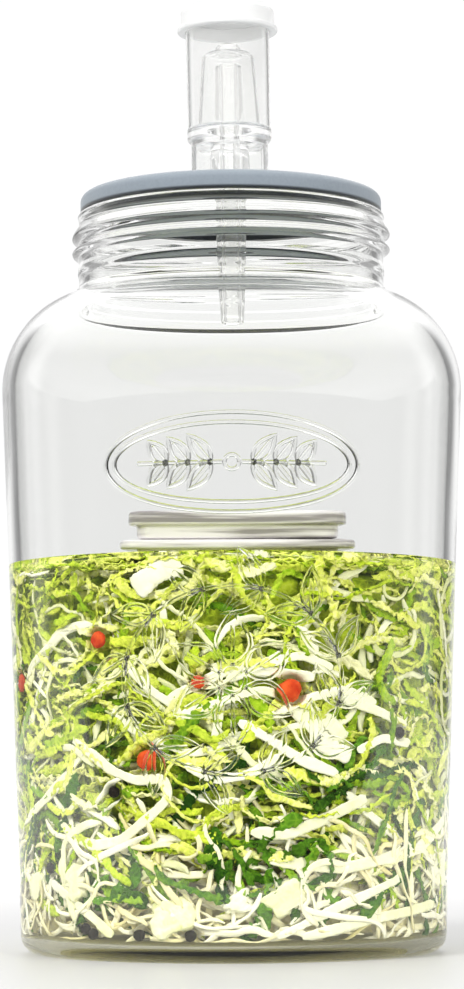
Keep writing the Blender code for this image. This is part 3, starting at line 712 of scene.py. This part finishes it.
def leaf_material(name, stops, crinkle):
    """Wet cabbage leaf: tone from the shred's own shade, veins and blisters from noise, the blisters'
    middles darkened as painted shade.
    """
    material, tree, shader = new_material(name, Roughness=0.30, IOR=WET_IOR)
    tree.feed(shader, Subsurface_Weight=0.12, Subsurface_Radius=(0.9, 1.0, 0.35), Subsurface_Scale=0.0015)
    shade = tree.add("Attribute")
    shade.attribute_name = "shade"
    place = tree.add("TexCoord").outputs["Object"]
    blotches = tree.add("TexNoise", Vector=place, Scale=160.0, Detail=5.0).outputs["Fac"]
    cells = tree.add("TexVoronoi", Vector=place, Scale=420.0)
    cells.feature = "DISTANCE_TO_EDGE"
    blisters = cells.outputs["Distance"]
    lowered = tree.calculate("SUBTRACT", shade.outputs["Fac"], 0.27)
    spread = tree.calculate("MULTIPLY_ADD", blotches, 0.55, lowered)
    # Partly painted shade: the veins are lighter as in the real leaf, and the middle of each blister is
    # darker, standing in for shading across the crinkles.
    veins_and_painted_shade = tree.calculate("MULTIPLY_ADD", blisters, -0.7 * crinkle, spread)
    height = tree.calculate("ADD", blisters, blotches)
    bump = tree.add("Bump", Strength=crinkle, Distance=0.0010, Height=height)
    tree.feed(shader, Base_Color=tree.ramp(veins_and_painted_shade, stops), Normal=bump.outputs["Normal"])
    return material


def smooth_noise(count, knots, size):
    """A smooth random line of numbers about zero."""
    values = draw.normal(0.0, size, knots)
    return np.interp(np.linspace(0, knots - 1, count), np.arange(knots), values)


def wandering_path(angle, z, depth, length, heading, bend_by, steps):
    """A wandering line behind the glass, by its middle place and heading: angles, heights, depths."""
    t = np.linspace(0, 1, steps + 1)
    headings = heading + bend_by * (t - 0.5) + smooth_noise(steps + 1, 7, 0.35)
    step = length / steps
    reach = float(inner_radius(z)) - depth
    angles = angle + np.cumsum(np.cos(headings)) * step / reach
    heights = z + np.cumsum(np.sin(headings)) * step
    middle = steps // 2
    depths = np.maximum(0.0005, depth + smooth_noise(steps + 1, 5, 0.0012))
    return angles - angles[middle] + angle, heights - heights[middle] + z, depths


def shred(path, width, ruffle, columns, thick=0.0005, twist=0.9, blunt=0.35, lying=False):
    """One shred as a thin closed crinkled sheet along a path, facing outwards or lying flat."""
    angles, heights, depths = path
    count = len(angles)
    radii = inner_radius(np.clip(heights, 0.0065, 0.2)) - depths
    line = np.stack([radii * np.cos(angles), radii * np.sin(angles), heights], axis=1)
    tangent = np.gradient(line, axis=0)
    stride = np.linalg.norm(tangent, axis=1, keepdims=True)
    s = np.cumsum(stride[:, 0])
    tangent /= stride
    outward = np.stack([np.cos(angles), np.sin(angles), np.zeros(count)], axis=1)
    if lying:
        outward = np.tile([0.0, 0.0, 1.0], (count, 1))
    across = np.cross(tangent, outward)
    across /= np.linalg.norm(across, axis=1, keepdims=True)
    normal = np.cross(across, tangent)
    roll = twist * smooth_noise(count, 4, 0.8)[:, None]
    cos, sin = np.cos(roll), np.sin(roll)
    across, normal = across * cos + normal * sin, normal * cos - across * sin
    t = np.linspace(0, 1, count)
    taper = np.clip(np.minimum(t, 1 - t) / 0.12 + blunt, 0, 1)
    half = width / 2 * taper * (1.0 + smooth_noise(count, max(6, count // 4), 0.06 + 170 * ruffle))
    phase = draw.uniform(0, math.tau, 8)
    waves = draw.uniform(0.0021, 0.0056, 4)
    rows = []
    for w in np.linspace(-1, 1, columns):
        frill = sum(np.sin(s * math.tau / waves[i] + phase[i] + (2 * i - 3) * w) for i in range(3))
        crease = np.sin(s * math.tau / waves[3] + phase[3]) * math.cos(3.5 * w + phase[4])
        lift = ruffle * ((0.25 + 0.75 * abs(w) ** 1.5) * frill * 0.6 + 0.7 * crease)
        ragged = 1.0 + 170.0 * ruffle * np.sin(s * math.tau / (0.5 * waves[0]) + phase[5] * w + phase[6])
        rows.append(line + across * (w * half * ragged)[:, None] + normal * lift[:, None])
    sheet = np.stack(rows, axis=1)
    solid = np.stack([sheet + normal[:, None] * thick / 2, sheet - normal[:, None] * thick / 2])
    return held_in(behind_spices(solid.reshape(-1, 3))), grid_faces(count, columns)


def behind_spices(points):
    """Moves points of shreds behind the berries and corns that lie against the glass."""
    angles = np.arctan2(points[:, 1], points[:, 0])
    reach = np.hypot(points[:, 0], points[:, 1])
    for degrees, z, radius in CHILLIES + PEPPERCORNS:
        turn = (angles - front_angle(degrees) + math.pi) % math.tau - math.pi
        away = np.hypot(turn * reach, points[:, 2] - z)
        pushed = 2.4 * radius * np.clip(1.6 - away / radius, 0.0, 0.6) / 0.6
        points[:, :2] *= ((reach - pushed) / reach)[:, None]
    return points


def held_in(points):
    """Keeps points inside the glass and under the brine's surface."""
    limit = inner_radius(np.clip(points[:, 2], 0.0065, 0.2)) - 0.0003
    keep = np.minimum(1.0, limit / np.maximum(np.hypot(points[:, 0], points[:, 1]), 1e-6))
    return np.stack([points[:, 0] * keep, points[:, 1] * keep,
                     np.clip(points[:, 2], FLOOR_THICKNESS + 0.0018, BRINE_Z - 0.0004)], axis=1)


def grid_faces(rows, columns):
    """Faces of a closed sheet, kept for reuse: front and back grids and strips that join their edges."""
    if (rows, columns) in FACE_CACHE:
        return FACE_CACHE[rows, columns]
    back = rows * columns
    faces = []
    for i in range(rows - 1):
        for j in range(columns - 1):
            a, b = i * columns + j, (i + 1) * columns + j
            faces.append([a, b, b + 1, a + 1])
            faces.append([back + a, back + a + 1, back + b + 1, back + b])
        a, b = i * columns, (i + 1) * columns
        faces.append([a, back + a, back + b, b])
        a, b = a + columns - 1, b + columns - 1
        faces.append([a, b, back + b, back + a])
    for j in range(columns - 1):
        last = (rows - 1) * columns
        faces.append([j, j + 1, back + j + 1, back + j])
        faces.append([last + j, back + last + j, back + last + j + 1, last + j + 1])
    FACE_CACHE[rows, columns] = faces
    return faces


def set_shade(piece, shades):
    """Gives each point of a piece the tone that its leaf material reads."""
    layer = piece.data.attributes.new("shade", "FLOAT", "POINT")
    layer.data.foreach_set("value", shades.astype(np.float32))


def add_shreds(name, shreds, material):
    """Joins shreds into one piece. Each shred has its own shade, which fades along it."""
    points, faces = joined([(p, f) for p, f, _ in shreds])
    shades = []
    for own_points, _, tone in shreds:
        along = np.tile(np.linspace(-1, 1, len(own_points) // 2 + 1), 2)[:len(own_points)]
        shades.append(tone + draw.normal(0, SHADE_FADE) * along)
    set_shade(add_piece(name, points, faces, material, "cabbage"), np.concatenate(shades))


def scatter(count, low, high, depth_range):
    """Even random places round the jar: angle, height, depth behind the glass."""
    golden = math.pi * (3.0 - math.sqrt(5.0))
    order = draw.permutation(count)
    for i in range(count):
        share = (order[i] + draw.uniform(0, 1)) / count
        angle = golden * order[i] + draw.uniform(-0.2, 0.2)
        yield angle, low + (high - low) * share, draw.uniform(*depth_range)


def make_core():
    """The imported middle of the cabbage, seen only through gaps between the shreds."""
    outline = [(0.0, 0.0090), (0.060, 0.0090)]
    heights = np.linspace(0.0120, CORE_TOP_Z - 0.004, 52)
    outline += [(float(inner_radius(z)) - CORE_SETBACK, z) for z in heights]
    outline += [(0.058, CORE_TOP_Z), (0.040, CORE_TOP_Z), (0.020, CORE_TOP_Z), (0.0, CORE_TOP_Z)]
    points, faces = lathe(outline, CORE_SIDES)
    for point in points:
        if 0.0100 < point[2] < CORE_TOP_Z - 0.001:
            bump = noise.noise(Vector(point) * 90.0) * 0.0022 + noise.noise(Vector(point) * 260.0) * 0.0010
            reach = math.hypot(point[0], point[1])
            point[:2] *= (reach + bump) / reach
    stops = [(0.15, (0.20, 0.30, 0.012)), (0.4, (0.50, 0.62, 0.040)), (0.62, (0.72, 0.78, 0.16)),
             (0.85, (0.80, 0.75, 0.46)), (1.0, (0.88, 0.84, 0.60))]
    leaf = leaf_material("packed_leaf", stops, 0.8)
    piece = add_piece("cabbage_core", points, faces, leaf, "cabbage", ("vegetables",))
    tones = 0.40 + 0.60 * np.clip((0.050 - points[:, 2]) / 0.020, 0, 1)
    # Painted shade: the top few millimetres of the core are darker, standing in for the shade under the
    # weights and the shreds over the heap.
    tones -= 0.25 * np.clip((points[:, 2] - 0.134) / 0.004, 0, 1)
    set_shade(piece, tones)


def free_shreds(count, heights, depths, lengths, widths, bends, slope, tones, mesh):
    """Shreds of one kind scattered round the jar, finer where the front shows them.

    tones is the middle and spread of their shade; mesh is their ruffle, columns, spacing and thickness.
    """
    ruffle, front_columns, spacing, thick = mesh
    made = []
    for angle, z, depth in scatter(count, *heights, depths):
        at_front = math.sin(angle) < 0.25
        columns = front_columns if at_front else max(3, front_columns - 2)
        length = draw.uniform(*lengths)
        steps = max(6, int(length / (spacing if at_front else spacing * 1.9)))
        heading = draw.choice([0.0, math.pi]) + draw.normal(0, slope)
        path = wandering_path(angle, z, depth, length, heading, draw.normal(0, bends), steps)
        points, faces = shred(path, draw.uniform(*widths), ruffle, columns, thick)
        made.append((points, faces, draw.normal(*tones)))
    return made


def make_leaf_shreds():
    """Crinkled leaf shreds of four greens against the glass."""
    pale = [(0.05, (0.24, 0.38, 0.012)), (0.36, (0.58, 0.71, 0.060)), (0.66, (0.82, 0.87, 0.230)),
            (0.95, (0.95, 0.95, 0.64))]
    lime = [(0.05, (0.17, 0.33, 0.006)), (0.40, (0.48, 0.66, 0.030)), (0.75, (0.75, 0.84, 0.120)),
            (1.00, (0.92, 0.93, 0.42))]
    mid = [(0.10, (0.08, 0.20, 0.005)), (0.50, (0.30, 0.50, 0.016)), (0.90, (0.60, 0.74, 0.080))]
    dark = [(0.10, (0.012, 0.05, 0.003)), (0.50, (0.050, 0.16, 0.008)), (0.90, (0.24, 0.42, 0.020))]
    kinds = [
        ("pale_shreds", pale, 360, (0.034, 0.1428), (0.0011, 0.0038), (0.72, 0.20)),
        ("lime_shreds", lime, 320, (0.030, 0.1420), (0.0011, 0.0040), (0.72, 0.20)),
        ("green_shreds", mid, 190, (0.024, 0.1390), (0.0014, 0.0042), (0.66, 0.22)),
        ("dark_shreds", dark, 120, (0.014, 0.0820), (0.0020, 0.0048), (0.60, 0.24)),
    ]
    for name, stops, count, heights, widths, tones in kinds:
        made = free_shreds(count, heights, (0.0007, 0.0080), (0.018, 0.054), widths, 1.4, 0.7, tones,
                           (0.0009, 5, 0.00115, 0.0004))
        add_shreds(name, made, leaf_material(name, stops, 0.8))


def front_strip(width, depth, *places):
    """A white strip of stalk through marked places on the front: degrees to the right, height in mm."""
    marked = np.array(places, float)
    gaps = np.hypot(np.diff(marked[:, 0]) * 1.38, np.diff(marked[:, 1]))
    run = np.concatenate([[0], np.cumsum(gaps)])
    at = np.linspace(0, run[-1], max(8, int(run[-1] / 1.2)))
    soft = np.ones(5) / 5
    lines = []
    for values in (np.radians(marked[:, 0] - 90), marked[:, 1] / 1000):
        line = np.interp(at, run, values)
        padded = np.concatenate([line[:1].repeat(2), line, line[-1:].repeat(2)])
        lines.append(np.convolve(padded, soft, "valid"))
    path = lines[0], lines[1], np.full(len(at), depth) + smooth_noise(len(at), 5, 0.0004)
    points, faces = shred(path, width, 0.00025, 6, thick=0.0010, twist=0.25, blunt=0.5)
    return points, faces, 0.75 + 0.1 * draw.normal()


def make_stalk_shreds():
    """White strips at the front, more stalks all round, and fine ones low down."""
    strips = [
        (0.0034, 0.0012, (-47, 79), (-39, 73), (-34, 68), (-26, 64), (-18, 65), (-17, 58), (-22, 52),
         (-31, 43), (-40, 41), (-48, 44), (-54, 50)),
        (0.0036, 0.0014, (-42, 77), (-50, 66), (-59, 58), (-72, 50)),
        (0.0085, 0.0010, (-26, 131), (-19, 138), (-13, 142)),
        (0.0034, 0.0018, (-18, 92), (-12, 96), (-1, 103), (11, 102), (22, 100)),
        (0.0030, 0.0016, (-14, 87), (-2, 92), (7, 96), (18, 92)),
        (0.0056, 0.0018, (15, 91), (21, 84), (25, 76), (33, 72)),
        (0.0050, 0.0028, (18, 90), (26, 85), (31, 78)),
        (0.0042, 0.0012, (4, 46), (14, 45), (24, 50), (38, 58)),
        (0.0042, 0.0012, (9, 36), (31, 33), (59, 39), (78, 50)),
        (0.0030, 0.0020, (31, 60), (40, 51), (53, 41)),
        (0.0034, 0.0015, (67, 134), (74, 118), (78, 101)),
        (0.0030, 0.0030, (-5, 76), (-3, 92), (-5, 106)),
        (0.0030, 0.0012, (11, 9), (30, 20), (53, 30)),
        (0.0035, 0.0014, (18, 9), (41, 15), (70, 19)),
        (0.0034, 0.0018, (-59, 28), (-43, 17), (-34, 9)),
    ]
    made = [front_strip(*strip) for strip in strips]
    made += free_shreds(190, (0.030, 0.132), (0.0016, 0.0070), (0.022, 0.065), (0.0010, 0.0032), 2.6, 0.7,
                        (0.62, 0.18), (0.00025, 4, 0.0018, 0.0009))
    add_shreds("stalk_shreds", made, leaf_material("stalk", STALK_COLOURS, 0.2))
    cream = [(0.10, (0.78, 0.71, 0.42)), (0.40, (0.91, 0.87, 0.66)), (0.80, (0.95, 0.94, 0.85))]
    made = free_shreds(520, (0.008, 0.046), (0.0006, 0.0085), (0.014, 0.048), (0.0010, 0.0026), 1.2, 0.9,
                       (0.55, 0.25), (0.0001, 4, 0.0022, 0.0008))
    add_shreds("fine_shreds", made, leaf_material("fine_stalk", cream, 0.2))


def lump(size, subdivisions, uneven, seed, boxy=0.0):
    """An uneven lump, from round to a block with rounded edges: points and faces."""
    shape = bmesh.new()
    bmesh.ops.create_icosphere(shape, subdivisions=subdivisions, radius=1.0)
    points = []
    shift = Vector((seed * 3.1, seed * 1.7, seed * 0.9))
    for vert in shape.verts:
        grown = 1.0 + uneven * noise.noise(vert.co * 1.3 + shift)
        grown += uneven * 0.4 * noise.noise(vert.co * 3.5 + shift)
        grown /= max(abs(c) for c in vert.co) ** boxy
        points.append(vert.co * grown)
    faces = [[v.index for v in face.verts] for face in shape.faces]
    points = np.array([tuple(p) for p in points]) * np.array(size)
    shape.free()
    return points, faces


def against_glass(points, angle, z, inset):
    """Moves a lump, made with its outer side along +X, to a place on the inside of the glass."""
    return held_in(turned(points + np.array([float(inner_radius(z)) - inset, 0.0, z]), angle))


def front_angle(degrees):
    """Angle about the axis of a place this many degrees to the right of the front."""
    return math.radians(degrees - 90.0)


def make_chunks():
    """Pieces of stalk low down, as rounded blocks: four at the front and twelve round the back."""
    cream = [(0.10, (0.56, 0.60, 0.20)), (0.50, (0.80, 0.81, 0.56)), (0.90, (0.93, 0.93, 0.84))]
    placed = [(-17.7, 0.0165, (0.005, 0.0070, 0.0062)), (14.0, 0.0230, (0.005, 0.0075, 0.0055)),
              (1.0, 0.0216, (0.004, 0.0055, 0.0036)), (-48.0, 0.0280, (0.004, 0.0050, 0.0065))]
    spots = [(front_angle(a), z, size) for a, z, size in placed]
    for i in range(12):
        angle = front_angle(60 + 240 * (i + draw.uniform(0.1, 0.9)) / 12)
        size = (0.005, draw.uniform(0.005, 0.009), draw.uniform(0.004, 0.007))
        spots.append((angle, draw.uniform(0.016, 0.034), size))
    made = []
    for i, (angle, z, size) in enumerate(spots):
        points, faces = lump(size, 4, 0.50, i, 0.45)
        tip = Matrix.Rotation(draw.uniform(-0.6, 0.6), 3, "X")
        turn = Matrix.Rotation(draw.uniform(-0.5, 0.5), 3, "Z")
        points = points @ np.array(tip @ turn).T
        made.append((against_glass(points, angle, z, 0.004), faces, draw.uniform(0.55, 0.85)))
    add_shreds("stalk_chunks", made, leaf_material("cut_stalk", cream, 0.3))


def wet_skin(name, stops, roughness, *grain):
    """A speckled skin that lies under the brine."""
    material, tree, shader = new_material(name, Roughness=roughness, IOR=WET_IOR)
    tree.feed(shader, Base_Color=tree.ramp(add_bump(tree, shader, *grain), stops))
    return material


def add_spices(name, spots, thickness, inset, uneven, first_seed, material):
    """Round lumps at marked spots. Thickness and inset are shares of their radius."""
    made = []
    for i, (degrees, z, radius) in enumerate(spots):
        points, faces = lump((radius * thickness, radius, radius), 3, uneven, i + first_seed)
        made.append((against_glass(points, front_angle(degrees), z, radius * inset), faces))
    add_piece(name, *joined(made), material, "cabbage")


def make_spices():
    """Peppercorns and chilli berries against the glass."""
    black = [(0.35, (0.004, 0.003, 0.003)), (0.7, (0.022, 0.018, 0.016))]
    red = [(0.35, (0.50, 0.035, 0.012)), (0.7, (0.72, 0.11, 0.03))]
    corn = wet_skin("peppercorn", black, 0.5, 900.0, 0.8, 0.0005, 3.0)
    berry = wet_skin("chilli", red, 0.25, 300.0, 0.3, 0.0004)
    add_spices("peppercorns", PEPPERCORNS, 1.0, 1.0, 0.10, 40, corn)
    add_spices("chilli_pieces", CHILLIES, 0.8, 0.7, 0.15, 70, berry)


def path_over_top(length, steps):
    """A wandering line over the top of the heap, dipping under the weights: angles, heights, depths."""
    t = np.linspace(0, 1, steps + 1)
    headings = draw.uniform(0, math.tau) + draw.normal(0, 1.4) * (t - 0.5)
    headings += smooth_noise(steps + 1, 7, 0.35)
    place, turn = TOP_REACH * math.sqrt(draw.uniform(0, 1)), draw.uniform(0, math.tau)
    x = place * math.cos(turn) + np.cumsum(np.cos(headings)) * length / steps
    y = place * math.sin(turn) + np.cumsum(np.sin(headings)) * length / steps
    heights = draw.uniform(CORE_TOP_Z + 0.0002, BRINE_Z - 0.0006) + smooth_noise(steps + 1, 5, 0.0005)
    from_weight = np.hypot(x - WEIGHT_CENTRE_X, y - WEIGHT_FLAT_Y)
    under = np.clip((LOWER_WEIGHT["radius"] + 0.004 - from_weight) / 0.003, 0, 1)
    under *= np.clip((y - WEIGHT_FLAT_Y + 0.005) / 0.003, 0, 1)
    heights -= under * np.maximum(0.0, heights - LOWER_WEIGHT["bottom"] + 0.0010)
    reach = np.minimum(np.hypot(x, y), TOP_REACH + 0.003)
    return np.arctan2(y, x), heights, inner_radius(heights) - reach


def make_top_shreds():
    """Shreds over the top of the heap, seen through the brine from above."""
    leaf = [(0.10, (0.16, 0.32, 0.006)), (0.45, (0.50, 0.66, 0.035)), (0.85, (0.84, 0.88, 0.260))]
    kinds = [("top_leaves", leaf, 300, (0.0020, 0.0056), 0.0007, 0.0004, 0.8),
             ("top_stalks", STALK_COLOURS, 46, (0.0014, 0.0034), 0.0002, 0.0009, 0.2)]
    for name, stops, count, widths, ruffle, thick, crinkle in kinds:
        made = []
        for _ in range(count):
            length = draw.uniform(0.020, 0.056)
            path = path_over_top(length, int(length / 0.0019))
            points, faces = shred(path, draw.uniform(*widths), ruffle, 4, thick, twist=0.35, lying=True)
            made.append((points, faces, draw.normal(0.66, 0.2)))
        add_shreds(name, made, leaf_material(name, stops, crinkle))


def make_front_accents():
    """Dark leaves and white strips that show at the lower and right front."""
    dark = [(0.10, (0.025, 0.08, 0.005)), (0.50, (0.10, 0.26, 0.016)), (0.90, (0.36, 0.56, 0.050))]
    made = []
    for count, degrees, heights in ((11, (-4, 22), (0.020, 0.046)), (4, (-45, -24), (0.020, 0.030)),
                                    (4, (18, 36), (0.045, 0.074))):
        for _ in range(count):
            angle, z = front_angle(draw.uniform(*degrees)), draw.uniform(*heights)
            length = draw.uniform(0.016, 0.032)
            depth, heading = draw.uniform(0.0014, 0.0036), draw.uniform(0, math.tau)
            steps = int(length / 0.0011)
            path = wandering_path(angle, z, depth, length, heading, draw.normal(0, 1.4), steps)
            points, faces = shred(path, draw.uniform(0.0026, 0.0050), 0.0010, 6, 0.0004)
            made.append((points, faces, draw.normal(0.55, 0.18)))
    add_shreds("dark_leaves", made, leaf_material("dark_leaf", dark, 0.8))
    white = [(0.10, (0.66, 0.71, 0.32)), (0.45, (0.86, 0.88, 0.66)), (0.85, (0.96, 0.96, 0.89))]
    strips = [
        (0.0032, 0.0012, (-2, 99), (8, 105), (18, 108), (27, 103)),
        (0.0030, 0.0014, (9, 86), (20, 93), (30, 96), (41, 91)),
        (0.0034, 0.0013, (1, 85), (10, 78), (18, 71), (29, 66)),
        (0.0030, 0.0012, (29, 93), (42, 88), (53, 83)),
        (0.0030, 0.0014, (-13, 70), (-5, 64), (4, 66), (13, 73)),
        (0.0034, 0.0013, (34, 74), (43, 79), (55, 77)),
        (0.0028, 0.0014, (-12, 80), (-15, 90), (-22, 96), (-28, 104)),
    ]
    made = [front_strip(*strip) for strip in strips]
    add_shreds("white_strips", made, leaf_material("white_strip", white, 0.2))


# The studio.

def make_floor():
    """A pale floor from just before the picture's lower edge, with a painted glow that brightens it away
    from the jar.
    """
    front, far = FLOOR_FRONT_Y, FLOOR_REACH
    mesh = bpy.data.meshes.new("floor")
    mesh.from_pydata([(-far, front, 0), (far, front, 0), (far, far, 0), (-far, far, 0)], [], [[0, 1, 2, 3]])
    material, tree, shader = new_material("pale_floor", Base_Color=(0.56, 0.557, 0.556, 1.0), Roughness=0.45,
                                          Emission_Color=(1.0, 1.0, 1.0, 1.0))
    away = tree.add("VectorMath")
    away.operation = "LENGTH"
    tree.plug(away.inputs[0], tree.add("TexCoord").outputs["Object"])
    # Painted light: the floor glows more the farther it lies from the jar, so that it fades into the white
    # backdrop.
    tree.feed(shader, Emission_Strength=tree.rise(away.outputs["Value"], 0.20, 1.0, 0.40))
    mesh.materials.append(material)
    floor = bpy.data.objects.new("floor", mesh)
    bpy.context.scene.collection.objects.link(floor)


def make_world():
    """A white studio: bright panels behind, above and at the sides, with dimmer gaps between them."""
    world = bpy.data.worlds.new("studio")
    bpy.context.scene.world = world
    world.use_nodes = True
    tree = NodeTree(world.node_tree)
    place = tree.add("TexCoord").outputs["Generated"]
    split = tree.add("SeparateXYZ", Vector=place).outputs
    sideways = tree.calculate("ABSOLUTE", split["X"])
    wide = tree.rise(sideways, 0.52, 0.38)
    tall = tree.rise(tree.calculate("ABSOLUTE", split["Z"]), 0.80, 0.60)
    behind = tree.rise(split["Y"], 0.30, 0.50, 0.70)
    total = tree.calculate("MULTIPLY", tree.calculate("MULTIPLY", wide, tall), behind)
    beside = tree.rise(sideways, 0.72, 0.88, 0.78)
    sides = tree.calculate("MULTIPLY", beside, tree.rise(split["Y"], 0.20, 0.50))
    above = tree.rise(split["Z"], 0.30, 0.62, 1.06)
    all_round = tree.rise(split["Y"], -0.60, 0.10, 0.20)
    for light in (tree.rise(sides, 0.0, 1.0), above, all_round, 0.06):
        total = tree.calculate("ADD", total, light)
    camera_ray = tree.add("LightPath").outputs["Is Camera Ray"]
    seen = tree.add("Mix", Factor=camera_ray, A=total, B=1.02)
    tree.feed(tree.nodes["Background"], Color=(1.0, 1.0, 1.0, 1.0), Strength=seen.outputs["Result"])


def add_panel(name, place, target, size, power):
    """A soft lamp that lights things but isn't mirrored in the glass."""
    light = bpy.data.lights.new(name, "AREA")
    light.shape = "RECTANGLE"
    light.size = light.size_y = size
    light.energy = power
    lamp = bpy.data.objects.new(name, light)
    lamp.location = place
    lamp.rotation_euler = (Vector(target) - Vector(place)).to_track_quat("-Z", "Y").to_euler()
    lamp.visible_glossy = False
    lamp.visible_transmission = False
    bpy.context.scene.collection.objects.link(lamp)


def make_camera():
    """The photograph's view: 1.18 m in front, a hand above the floor, tilted up, with a slight roll."""
    data = bpy.data.cameras.new("camera")
    data.lens = LENS
    data.sensor_width = 36.0
    data.clip_start = 0.05
    data.clip_end = 100.0
    camera = bpy.data.objects.new("camera", data)
    aim = Matrix.Rotation(math.radians(90) + CAMERA_TILT, 4, "X") @ Matrix.Rotation(CAMERA_ROLL, 4, "Z")
    camera.matrix_world = Matrix.Translation(CAMERA_PLACE) @ aim
    bpy.context.scene.collection.objects.link(camera)
    bpy.context.scene.camera = camera


def set_look():
    """Plain colours, and enough bounces for glass behind glass."""
    scene = bpy.context.scene
    scene.view_settings.view_transform = "Standard"
    scene.cycles.max_bounces = 28
    scene.cycles.transmission_bounces = 28
    scene.cycles.glossy_bounces = 8
    scene.cycles.diffuse_bounces = 4
    scene.cycles.transparent_max_bounces = 24
    scene.cycles.caustics_reflective = False
    scene.cycles.caustics_refractive = False


make_camera()
set_look()
make_world()
make_floor()
add_panel("key_left", (-1.1, -1.2, 1.1), (0, 0, 0.12), 0.6, 31.0)
add_panel("fill_right", (1.3, -1.5, 0.5), (0, 0, 0.10), 0.9, 27.0)
make_jar()
make_lid()
make_airlock()
make_weights()
make_brine()
make_core()
make_leaf_shreds()
make_stalk_shreds()
make_chunks()
make_spices()
make_top_shreds()
make_front_accents()
